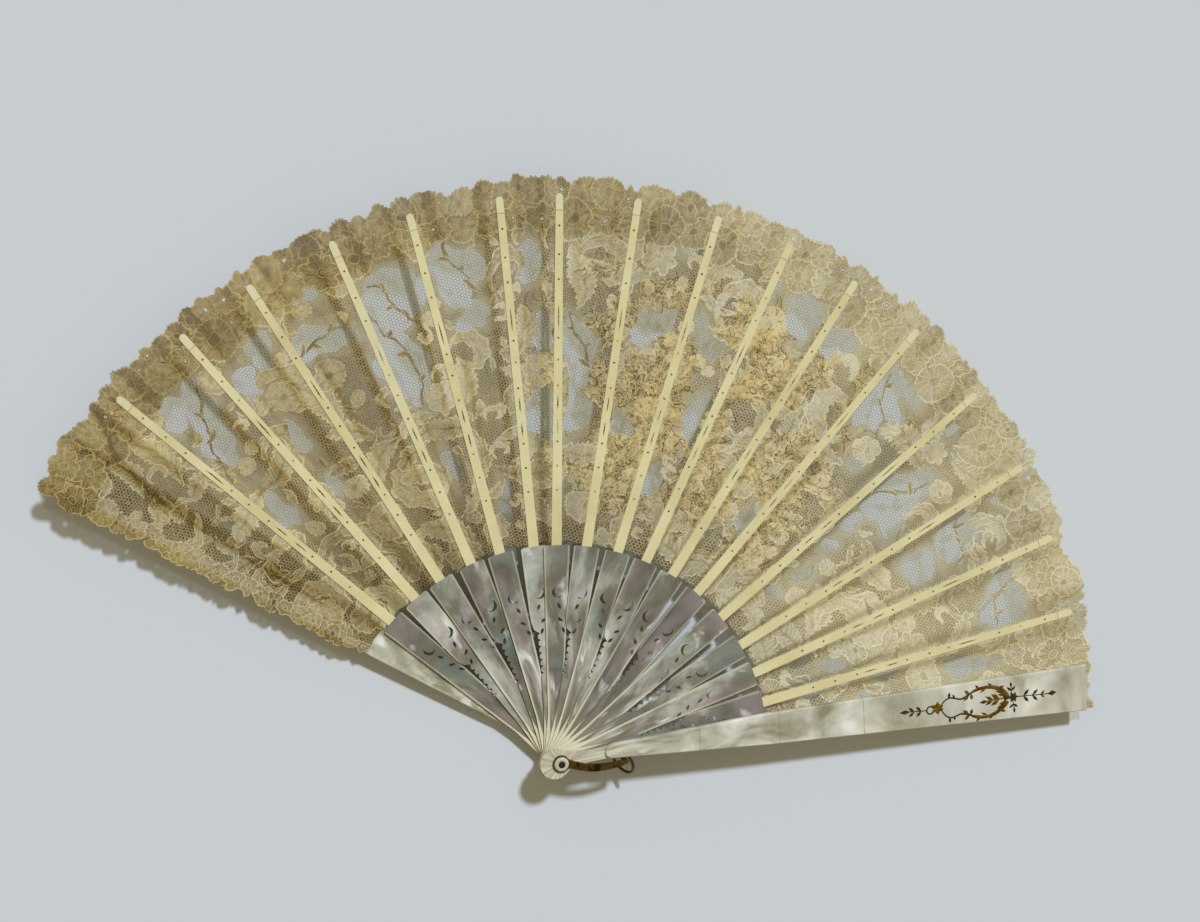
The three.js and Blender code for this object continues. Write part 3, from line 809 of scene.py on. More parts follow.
    def border_spots(self) -> list:
        """Places of the border's motifs: two rows along the outer edge and one down the left edge.

        Returns:
            x, y, size and direction of each motif.
        """
        s = self.surface.sizes
        rng = self.rng
        spots = []
        for low, high, inset, step in ((6.5, 9.5, 9.5, 1.8), (4.6, 7.4, 0.0, 1.5)):
            angle = s.directions[-1] - 2.0
            while angle < s.directions[0] + 3.0:
                size = rng.uniform(low, high)
                radius = s.leaf_radius + 1.0 - inset - size * 0.80 + rng.normal(0.0, 0.6)
                turn = math.radians(angle)
                spots.append((radius * math.cos(turn), radius * math.sin(turn), size, turn))
                angle += math.degrees(step * size / s.leaf_radius)
        spots.append((-76.5, 250.5, 5.4, 1.87))
        spots.append((-83.5, 249.5, 5.0, 1.90))
        x = s.leaf_start + 3.0
        while x < s.leaf_radius:
            size = rng.uniform(3.8, 5.2) * (0.8 + 0.4 * self.surface.along(x))
            y = float(self.surface.left_half(0, np.array(x))) + 1.0 - size * 0.8
            px, py = self.surface.to_plan(0, np.array(x), np.array(y))
            spots.append((float(px), float(py), size, self.surface.turns[0] + QUARTER_TURN))
            x += 1.5 * size
        return spots

    def border(self) -> None:
        """Draws the scalloped border in a mixed order, so that its motifs overlap either way."""
        rng = self.rng
        spots = self.border_spots()
        for i in rng.permutation(len(spots)):
            x, y, size, turn = spots[i]
            if math.hypot(x, y) < self.BORDER_FROM and self.window[self.cell(x, y)] > 0.0:
                continue
            kind = Motif.ROSETTE if rng.random() < 0.6 else Motif.FLOWER
            self.draw(kind, x, y, size, turn, self.border_tone + rng.normal(0.0, 0.06))

    def thread_grain(self, grain: float, steps: int, seed: int) -> np.ndarray:
        """Noise drawn out along the flow of the threads, with mean 0 and spread 1.

        Args:
            grain: Width of a grain, in millimetres.
            steps: Cells that each grain is drawn out by, each way.
            seed: Seed of the noise.

        Returns:
            Values over the raster.
        """
        seedling = self.value_noise(grain, seed)
        total = np.zeros(self.gx.shape)
        rows, columns = self.gx.shape
        for way in (1.0, -1.0):
            i, j = np.meshgrid(np.arange(rows, dtype=float), np.arange(columns, dtype=float), indexing="ij")
            for _ in range(steps):
                at = np.clip(i, 0, rows - 1).astype(int), np.clip(j, 0, columns - 1).astype(int)
                total += seedling[at]
                j += way * np.cos(self.flow[at])
                i += way * np.sin(self.flow[at])
        return np.clip((total - total.mean()) / total.std(), -1.5, 1.8)

    def finish(self) -> None:
        """Ages the lace, paints shade along its folds, in its crease and under the ribs, and gives it the
        grain of its threads.
        """
        self.gild()
        fine = self.thread_grain(0.7, 6, 3)
        coarse = self.thread_grain(0.8, 9, 4)
        broad = self.value_noise(24.0, 5) - 0.5
        self.age(broad)
        self.stain(fine)
        self.crease(broad)
        work = np.where(self.taken, 0.08, 0.03)
        self.shade = self.middle_tone + self.contrast * (self.shade - self.middle_tone)
        self.shade = self.shade + self.age_and_shade + fine * work + (0.28 * coarse - 0.04) * self.gold
        self.relief = self.relief + np.clip(0.05 * fine + 0.14 * coarse * self.gold, -0.12, 0.4)
        self.shade_under_ribs()
        cover = (self.cloth > 0)[self.within > 0].mean()
        LOG.info("lace: worked cloth covers %.2f of the leaf", cover)

    def gild(self) -> None:
        """Patches of raised golden thread in the middle of the leaf, where the threads stray more."""
        zone = smooth((self.angle - 50) / 14) * smooth((111 - self.angle) / 8)
        zone = zone * smooth((self.radius - 106) / 14) * smooth((238 - self.radius) / 14)
        patches = smooth((self.value_noise(11.0, 21) - 0.33) / 0.16)
        self.gold = zone * patches * (self.window < 0.2)
        self.flow = self.flow + self.gold * 4.0 * (self.value_noise(3.2, 12) - 0.5)

    def age(self, broad: np.ndarray) -> None:
        """Tone and warmth of old thread: brighter towards the right, brown at the left and edge, and darker
        and browner along the folds, from grime and painted shade.

        Args:
            broad: Broad clouds, from -0.5 to 0.5.
        """
        right = smooth((68 - self.angle) / 22)
        bright = smooth((98 - self.angle) / 12)
        left = smooth((self.angle - 116) / 20)
        edge = smooth((self.radius - 238) / 8)
        old = edge * smooth((self.angle - 84) / 14)
        _, fold = self.surface.locate(self.gx, self.gy)
        # Darker and browner towards the folds of the pleats: grime and painted shade in the folds.
        fold_mark_strength = 0.45 + 0.55 * smooth((self.angle - 92) / 30) + 0.25 * np.sin(0.06 * self.radius + self.angle)
        fold_grime_and_shade = smooth((fold - 0.55) / 0.45) * np.clip(fold_mark_strength, 0.0, 1.2)
        self.age_and_shade = 0.16 * broad + 0.02 + 0.11 * bright - 0.01 * right - 0.06 * left
        self.age_and_shade = self.age_and_shade - 0.16 * old - 0.09 * edge - 0.22 * fold_grime_and_shade
        self.warm = 0.17 + 0.45 * self.gold + 0.32 * left + 0.25 * old + 0.12 * edge
        self.warm = self.warm + 0.4 * broad + 0.5 * fold_grime_and_shade

    def stain(self, fine: np.ndarray) -> None:
        """Rust stains at the left.

        Args:
            fine: Grain of the threads, which frays the stains.
        """
        for x, y, reach in self.STAINS:
            near = np.exp(-(((self.gx - x) ** 2 + (self.gy - y) ** 2) / reach**2) * (1.0 + 0.5 * fine))
            self.age_and_shade = self.age_and_shade - 0.36 * near
            self.warm = self.warm + 0.9 * near

    def crease(self, broad: np.ndarray) -> None:
        """Painted shade in the crease beside the left band, darker, browner and a little sunk, and the band's
        paler cloth.

        Args:
            broad: Broad clouds, from -0.5 to 0.5, which vary the crease's width.
        """
        along, across = self.surface.to_stick(0, self.gx, self.gy)
        spots = np.array(self.CREASE)[::-1]
        line = across - np.interp(along, spots[:, 0], spots[:, 1])
        inside = smooth((along - 118) / 20) * (along < 262)
        # The crease's dark brown line is painted shade in its hollow.
        crease = np.exp(-((line / (1.1 + 0.6 * broad)) ** 2)) * inside
        band = smooth((line - 1.0) / 3.0) * inside
        self.age_and_shade = self.age_and_shade - 0.36 * crease + 0.12 * band
        self.warm = np.clip(self.warm + 0.6 * crease, 0.0, 1.1)
        self.relief = self.relief - 0.2 * crease

    def shade_under_ribs(self) -> None:
        """Closed cloth under each rib, painted dark for the shade seen through the rib's holes."""
        s = self.surface.sizes
        for k in range(1, s.sticks + 1):
            along, across = self.surface.to_stick(k, self.gx, self.gy)
            under = np.abs(across) < self.surface.rib_half(along) - 0.5
            under &= (along > s.rib_start) & (along < s.rib_reach - 2.0)
            # Painted shade: the cloth under the rib turns dark and closed.
            self.shade = np.where(under, self.rib_shade_tone, self.shade)
            self.open = np.where(under, 0.0, self.open)

    def value_noise(self, scale: float, seed: int) -> np.ndarray:
        """Smooth noise from 0 to 1 whose grains are about scale millimetres wide.

        Args:
            scale: Width of a grain, in millimetres.
            seed: Seed of the noise.

        Returns:
            Values over the raster.
        """
        rng = np.random.default_rng(seed)
        side = 256
        table = rng.random((side, side))
        u, v = self.gx / scale + 1000, self.gy / scale + 1000
        i, j = np.floor(u).astype(int), np.floor(v).astype(int)
        a, b = smooth(u - i), smooth(v - j)
        i0, i1, j0, j1 = i % side, (i + 1) % side, j % side, (j + 1) % side
        top = table[i0, j0] * (1 - a) + table[i1, j0] * a
        low = table[i0, j1] * (1 - a) + table[i1, j1] * a
        return top * (1 - b) + low * b

    def sample(self, grid: np.ndarray, px: np.ndarray, py: np.ndarray) -> np.ndarray:
        """Values of a raster at plan points.

        Args:
            grid: The raster.
            px: The points' x.
            py: The points' y.

        Returns:
            One value for each point.
        """
        u = np.clip((px - self.LOW[0]) / self.STEP, 0, grid.shape[1] - 2)
        v = np.clip((py - self.LOW[1]) / self.STEP, 0, grid.shape[0] - 2)
        j, i = u.astype(int), v.astype(int)
        a, b = u - j, v - i
        return (grid[i, j] * (1 - a) * (1 - b) + grid[i, j + 1] * a * (1 - b)
                + grid[i + 1, j] * (1 - a) * b + grid[i + 1, j + 1] * a * b)


@dataclass
class LaceMesh:
    """Points in millimetres, triangles, and colours with their cover of one lace piece."""

    points: np.ndarray
    faces: np.ndarray
    colours: np.ndarray

    def joined(self, other: "LaceMesh") -> "LaceMesh":
        """Both meshes as one.

        Args:
            other: The mesh to add.

        Returns:
            The joined mesh.
        """
        return LaceMesh(
            np.concatenate([self.points, other.points]),
            np.concatenate([self.faces, other.faces + len(self.points)]),
            np.concatenate([self.colours, other.colours]),
        )


@dataclass
class LaceMaker:
    """Cuts the worked cloth and the hexagonal net of each lace piece."""

    surface: LeafSurface
    design: LaceDesign
    tones: LaceTones
    # The cloth's grid: distance between rows, points in a row and the outermost row
    row: float = 0.5
    columns: int = 41
    outer: float = 269.5
    # The net: its pitch, thread and wobble, and its thread and tone where it lies on the ground cloth
    net_pitch: float = 1.5
    net_thread: float = 0.28
    net_wobble: float = 0.12
    ground_thread: float = 0.34
    ground_tone: float = 0.62
    # The loose threads: seed, places tried and parts of each thread
    work_seed: int = 31
    work_count: int = 60000
    work_parts: int = 6
    # Strip beside the pearl that has no cords
    past_pearl: float = 0.6

    def __post_init__(self) -> None:
        """Spins all the threads."""
        self.rows = np.arange(self.surface.sizes.leaf_start, self.outer, self.row)
        self.spin()

    def colour(self, px: np.ndarray, py: np.ndarray) -> np.ndarray:
        """Linear colours of the worked cloth.

        Args:
            px: The points' x in plan.
            py: The points' y in plan.

        Returns:
            One colour for each point.
        """
        shade = self.design.sample(self.design.shade, px, py)
        warm = self.design.sample(self.design.warm, px, py)
        return self.tint(self.tones.ramp(np.clip(shade, 0.0, 1.0)), warm)

    def tint(self, colours: np.ndarray, warm: np.ndarray) -> np.ndarray:
        """Colours turned to golden brown by the share warm."""
        return colours * np.stack([1.0 + gain * warm for gain in (0.05, -0.06, -0.38)], axis=-1)

    def clip(self, px: np.ndarray, py: np.ndarray, pz: np.ndarray) -> LaceMesh:
        """Worked cloth of a grid: the part of its triangles where the design has cloth.

        Args:
            px: The points' x in plan.
            py: The points' y in plan.
            pz: The points' heights.

        Returns:
            The clipped mesh.
        """
        rows, columns = px.shape
        value = self.design.sample(self.design.cloth, px, py).ravel()
        relief = self.design.sample(self.design.relief, px, py).ravel()
        points = np.stack([px.ravel(), py.ravel(), pz.ravel() + relief], axis=1)
        cover = 1.0 - self.design.sample(self.design.open, px, py)
        colours = np.column_stack([self.colour(px, py).reshape(-1, 3), cover.ravel()])
        number = np.arange(rows * columns).reshape(rows, columns)
        a, b = number[:-1, :-1].ravel(), number[:-1, 1:].ravel()
        c, d = number[1:, 1:].ravel(), number[1:, :-1].ravel()
        faces = np.concatenate([np.stack([a, b, c], 1), np.stack([a, c, d], 1)])
        inside = value > 0.0
        count = inside[faces].sum(axis=1)
        kept = [faces[count == 3]]
        keys, pending = [], []
        for wanted in (1, 2):
            part = faces[count == wanted]
            lone = inside[part] if wanted == 1 else ~inside[part]
            first = lone.argmax(axis=1)
            turn = (first[:, None] + np.arange(3)) % 3
            p, q, r = np.take_along_axis(part, turn, axis=1).T
            pending.append((wanted, p, q, r))
            keys += [np.stack([p, q], 1), np.stack([p, r], 1)]
        edges = np.sort(np.concatenate(keys), axis=1)
        unique, index = np.unique(edges, axis=0, return_inverse=True)
        index = index.ravel() + len(points)
        share = value[unique[:, 0]] / (value[unique[:, 0]] - value[unique[:, 1]])
        from_first, from_second = (1 - share)[:, None], share[:, None]
        cut = points[unique[:, 0]] * from_first + points[unique[:, 1]] * from_second
        cut_colours = colours[unique[:, 0]] * from_first + colours[unique[:, 1]] * from_second
        points, colours = np.concatenate([points, cut]), np.concatenate([colours, cut_colours])
        at = 0
        for wanted, p, q, r in pending:
            pq, pr = index[at:at + len(p)], index[at + len(p):at + 2 * len(p)]
            at += 2 * len(p)
            if wanted == 1:
                kept.append(np.stack([p, pq, pr], 1))
            else:
                kept += [np.stack([pq, q, r], 1), np.stack([pq, r, pr], 1)]
        faces = np.concatenate(kept)
        used, compact = np.unique(faces, return_inverse=True)
        return LaceMesh(points[used], compact.reshape(-1, 3), colours[used])

    def net_threads(self) -> tuple:
        """Every thread of the net that shows between the motifs.

        Returns:
            Starts, ends, and whether each thread lies on the ground cloth.
        """
        pitch = self.net_pitch
        side = pitch / math.sqrt(3)
        low, high = self.design.LOW, self.design.HIGH
        rows = int((high[1] - low[1]) / (1.5 * side)) + 1
        columns = int((high[0] - low[0]) / pitch) + 1
        i, j = np.meshgrid(np.arange(rows), np.arange(columns), indexing="ij")
        cx = low[0] + (j + 0.5 * (i % 2)) * pitch
        cy = low[1] + i * 1.5 * side
        knots = []
        for n in range(4):
            turn = math.radians(30 + 60 * n)
            knot = np.stack([cx + side * math.cos(turn), cy + side * math.sin(turn)], -1).reshape(-1, 2)
            knots.append(knot + self.net_wobble * np.sin(knot[:, ::-1] * 2.1 + 0.7 * knot))
        start, end = np.concatenate(knots[:3]), np.concatenate(knots[1:])
        middle = (start + end) / 2
        cloth = self.design.sample(self.design.cloth, middle[:, 0], middle[:, 1])
        inside = self.design.sample(self.design.within, middle[:, 0], middle[:, 1])
        bare = self.design.sample(self.design.taken.astype(float), middle[:, 0], middle[:, 1]) < 0.5
        keep = ((cloth < 0.8) | bare) & (inside > 0.0)
        return start[keep], end[keep], cloth[keep] > 0.3

    def cord_threads(self) -> tuple:
        """The raised cords that outline the motifs, where no later motif covers them.

        Returns:
            Starts, ends and widths.
        """
        design = self.design
        low = self.surface.sizes.leaf_start + self.past_pearl
        starts, ends, widths = [], [], []
        for line, laid, width in design.cords:
            middle = (line[1:] + line[:-1]) / 2
            across, up = ((middle - np.array(design.LOW)) / design.STEP + 0.5).T
            i = np.clip(up, 0, design.gx.shape[0] - 1).astype(int)
            j = np.clip(across, 0, design.gx.shape[1] - 1).astype(int)
            keep = (design.owner[i, j] == laid) & (design.cloth[i, j] > 0.0) & (design.radius[i, j] > low)
            starts.append(line[:-1][keep])
            ends.append(line[1:][keep])
            widths.append(np.full(keep.sum(), width))
        return np.concatenate(starts), np.concatenate(ends), np.concatenate(widths)

    def work_threads(self) -> tuple:
        """Loose and raised threads on the worked cloth, each of several short parts.

        Returns:
            Starts, ends, tones and shares of gold.
        """
        rng = np.random.default_rng(self.work_seed)
        count, parts = self.work_count, self.work_parts
        design = self.design
        s = self.surface.sizes
        radius = np.sqrt(rng.uniform(s.leaf_start**2, s.leaf_radius**2, count))
        turn = np.radians(rng.uniform(s.directions[-1] - 2, s.directions[0] + 3, count))
        at = np.stack([radius * np.cos(turn), radius * np.sin(turn)], 1)
        gold = design.sample(design.gold, at[:, 0], at[:, 1])
        keep = design.sample(design.cloth, at[:, 0], at[:, 1]) > 0.5
        keep &= rng.random(count) < 0.20 + 0.36 * gold
        at, gold = at[keep], gold[keep]
        step = rng.uniform(0.5, 1.0, len(at)) * (1.0 + 0.3 * gold)
        bend = rng.normal(0.0, 0.14 + 0.40 * gold)
        lean = rng.normal(0.0, 0.25 + 0.7 * gold)
        light = rng.random(len(at)) < np.where(gold > 0.3, 0.80, 0.84)
        brown = np.where(gold > 0.3, rng.uniform(0.0, 0.26, len(at)), rng.uniform(0.26, 0.42, len(at)))
        tone = np.where(light, rng.uniform(0.74, 1.0, len(at)), brown)
        starts, ends = [], []
        for n in range(parts):
            way = design.sample(design.flow, at[:, 0], at[:, 1]) + lean + bend * n
            after = at + step[:, None] * np.stack([np.cos(way), np.sin(way)], 1)
            starts.append(at)
            ends.append(after)
            at = after
        start, end = np.concatenate(starts), np.concatenate(ends)
        middle = (start + end) / 2
        keep = design.sample(design.cloth, middle[:, 0], middle[:, 1]) > 0.1
        return start[keep], end[keep], np.tile(tone, parts)[keep], np.tile(gold, parts)[keep]

    def thread_tone(self, at: np.ndarray, tone: np.ndarray | float) -> np.ndarray:
        """Colours of threads of one tone, shifted and warmed as the lace is where they lie, by its years,
        stains and painted shade.

        Args:
            at: Places of the threads in plan.
            tone: Tone from 0 to 1, one for all or one each.

        Returns:
            One colour for each thread.
        """
        age_and_shade = self.design.sample(self.design.age_and_shade, at[:, 0], at[:, 1])
        warm = np.clip(self.design.sample(self.design.warm, at[:, 0], at[:, 1]), 0.0, 1.0)
        return self.tint(self.tones.ramp(np.clip(tone + age_and_shade, 0.0, 1.0)), warm)

    def spin(self) -> None:
        """Gathers the net's and the work's threads, each with its piece, width, lift and colour."""
        net_start, net_end, ground = self.net_threads()
        cord_start, cord_end, cord_width = self.cord_threads()
        start, end, tone, gold = self.work_threads()
        net_colour = np.tile(np.array(srgb(*self.tones.net)[:3]), (len(net_start), 1))
        net_colour = np.where(ground[:, None], self.thread_tone(net_start, self.ground_tone), net_colour)
        cord_colour = self.thread_tone(cord_start, 0.74 + 0.55 * cord_width)
        middle = (start + end) / 2
        warm = np.clip(self.design.sample(self.design.warm, middle[:, 0], middle[:, 1]), 0.0, 1.0)
        around = self.design.sample(self.design.shade, middle[:, 0], middle[:, 1])
        mixed = tone * (0.65 + 0.2 * gold) + around * (0.35 - 0.2 * gold)
        work_colour = self.tint(self.tones.ramp(np.clip(mixed, 0.0, 1.0)), warm)
        relief = self.design.sample(self.design.relief, middle[:, 0], middle[:, 1])
        cord_relief = self.design.sample(self.design.relief, cord_start[:, 0], cord_start[:, 1])
        self.start = np.concatenate([net_start, cord_start, start])
        self.end = np.concatenate([net_end, cord_end, end])
        self.thread_colour = np.concatenate([net_colour, cord_colour, work_colour])
        self.lift = np.concatenate([
            np.where(ground, 0.12, -0.03),
            np.maximum(cord_relief, 0.0) + 0.16,
            np.maximum(relief, 0.0) + 0.10 + 0.14 * gold,
        ])
        net_width = np.where(ground, self.ground_thread, self.net_thread)
        self.width = np.concatenate([net_width, cord_width, 0.24 + 0.18 * gold])
        middle = (self.start + self.end) / 2
        self.piece, _ = self.surface.locate(middle[:, 0], middle[:, 1])
        LOG.info("lace: %d net threads, %d of cords, %d worked", len(net_start), len(cord_start), len(start))

    def thread_mesh(self, number: int) -> LaceMesh:
        """The threads of one piece as flat ribbons.

        Args:
            number: Piece number, as LeafSurface.locate gives it.

        Returns:
            The ribbons' mesh.
        """
        pick = self.piece == number
        start, end = self.start[pick], self.end[pick]
        way = end - start
        side = np.stack([-way[:, 1], way[:, 0]], 1)
        length = np.maximum(np.linalg.norm(way, axis=1, keepdims=True), 1e-6)
        side *= self.width[pick][:, None] / 2 / length
        corners = np.stack([start - side, end - side, end + side, start + side], 1).reshape(-1, 2)
        height = self.height_on(number, corners[:, 0], corners[:, 1]) + np.repeat(self.lift[pick], 4)
        points = np.column_stack([corners, height])
        base = np.arange(len(start))[:, None] * 4
        faces = np.concatenate([base + np.array([[0, 1, 2]]), base + np.array([[0, 2, 3]])])
        colours = np.column_stack([self.thread_colour[pick], np.ones(len(start))])
        return LaceMesh(points, faces, np.repeat(colours, 4, axis=0))

    def height_on(self, number: int, px: np.ndarray, py: np.ndarray) -> np.ndarray:
        """Height of a piece at plan points on it or just past its folds.

        Args:
            number: Piece number, as LeafSurface.locate gives it.
            px: The points' x in plan.
            py: The points' y in plan.

        Returns:
            Heights in millimetres.
        """
        k = number // 2
        x, y = self.surface.to_stick(k, px, py)
        if number % 2 == 0:
            y = np.clip(y, -self.surface.right_half(k, x), self.surface.left_half(k, x))
            return self.surface.face_height(k, x, y)
        x2, y2 = self.surface.to_stick(k + 1, px, py)
        before = np.maximum(-self.surface.right_half(k, x) - y, 0.0)
        after = np.maximum(y2 - self.surface.left_half(k + 1, x2), 0.0)
        low, high = self.surface.fold_levels(k)
        return low + (high - low) * smooth(before / np.maximum(before + after, 1e-6))

    def face(self, k: int) -> LaceMesh:
        """Lace carried by stick k."""
        grid = self.surface.face_grid(k, self.rows, self.columns)
        return self.clip(*grid).joined(self.thread_mesh(2 * k))

    def slope(self, k: int) -> LaceMesh:
        """Lace between stick k and the next one."""
        grid = self.surface.slope_grid(k, self.rows, self.columns)
        return self.clip(*grid).joined(self.thread_mesh(2 * k + 1))


class Graph:
    """A material's node tree, with short ways to add and link nodes."""

    def __init__(self, name: str) -> None:
        """Starts a material of that name.

        Args:
            name: Name of the material.
        """
        self.material = bpy.data.materials.new(name)
        self.material.use_nodes = True
        self.tree = self.material.node_tree
        self.shader = self.tree.nodes["Principled BSDF"]

    def add(self, kind: str, settings: dict | None = None, **values: Value) -> bpy.types.Node:
        """A node of a kind, with settings as attributes and values on its sockets.

        Args:
            kind: The node's type, without ShaderNode.
            settings: Attributes to set on the node.
            values: Numbers, colours or sockets for its inputs.

        Returns:
            The node.
        """
        node = self.tree.nodes.new("ShaderNode" + kind)
        for key, value in (settings or {}).items():
            setattr(node, key, value)
        for key, value in values.items():
            self.put(node, key, value)
        return node

    def put(self, node: bpy.types.Node, key: str, value: Value) -> None:
        """Sets or links one input; underscores in the name stand for spaces, _3 for the third input.

        Args:
            node: The node.
            key: Name or number of the input.
            value: Number, colour or socket.
        """
        if key.startswith("_"):
            socket = node.inputs[int(key[1:])]
        else:
            socket = node.inputs[key.replace("_", " ")]
        if isinstance(value, bpy.types.NodeSocket):
            self.tree.links.new(value, socket)
        else:
            socket.default_value = value

    def surface(self, **values: Value) -> None:
        """Sets or links the shader's inputs."""
        for key, value in values.items():
            self.put(self.shader, key, value)

    def math(self, operation: str, a: Value, b: Value = 0.0, c: Value = 0.0) -> Socket:
        """Output of a maths node."""
        return self.add("Math", {"operation": operation}, _0=a, _1=b, _2=c).outputs[0]

    def mix(self, share: Value, a: Value, b: Value, blend: str = "MIX") -> Socket:
        """Output of a colour mix.

        Args:
            share: Share of the second colour.
            a: First colour.
            b: Second colour.
            blend: Way of mixing.

        Returns:
            The mixed colour.
        """
        node = self.add("Mix", {"data_type": "RGBA", "blend_type": blend})
        self.put(node, "_0", share)
        self.put(node, "_6", a)
        self.put(node, "_7", b)
        return node.outputs[2]

    def ramp(self, share: Value, *stops: tuple) -> Socket:
        """Output of a colour ramp through (place, colour) stops.

        Args:
            share: Place along the ramp, from 0 to 1.
            stops: Pairs of place and colour.

        Returns:
            The ramp's colour.
        """
        node = self.add("ValToRGB", Fac=share)
        ramp = node.color_ramp
        while len(ramp.elements) < len(stops):
            ramp.elements.new(1.0)
        for element, (place, colour) in zip(ramp.elements, stops):
            element.position = place
            element.color = colour
        return node.outputs[0]

    def noise(
        self,
        vector: Socket,
        scale: float,
        detail: float = 3.0,
        distortion: float = 0.0,
        w: float | None = None,
    ) -> Socket:
        """Value of a noise in object space.

        Args:
            vector: Where the noise is read.
            scale: Its scale.
            detail: Its detail.
            distortion: Its distortion.
            w: Fourth coordinate, if any.

        Returns:
            The noise's value.
        """
        settings = {"noise_dimensions": "3D" if w is None else "4D"}
        node = self.add("TexNoise", settings, Vector=vector, Scale=scale, Detail=detail)
        self.put(node, "Distortion", distortion)
        if w is not None:
            self.put(node, "W", w)
        return node.outputs[0]

    def bump(self, height: Socket, strength: float, distance: float) -> Socket:
        """Normal of a bump."""
        return self.add("Bump", Strength=strength, Distance=distance, Height=height).outputs[0]

    def place(self) -> Socket:
        """Object coordinates."""
        return self.add("TexCoord").outputs["Object"]

    def plan(self, place: Socket) -> tuple[Socket, Socket, Socket]:
        """A place seen from above: its x, its y and its distance from the pivot.

        Args:
            place: The place's coordinates.

        Returns:
            Sockets of x, y and distance, in metres.
        """
        parts = self.add("SeparateXYZ", Vector=place)
        flat = self.add("CombineXYZ", X=parts.outputs[0], Y=parts.outputs[1])
        reach = self.add("VectorMath", {"operation": "LENGTH"}, Vector=flat.outputs[0]).outputs[1]
        return parts.outputs[0], parts.outputs[1], reach

    def scaled_sum(self, x: Socket, y: Socket, x_share: float, y_share: float) -> Socket:
        """x times its share plus y times its share."""
        return self.math("MULTIPLY_ADD", y, y_share, self.math("MULTIPLY", x, x_share))


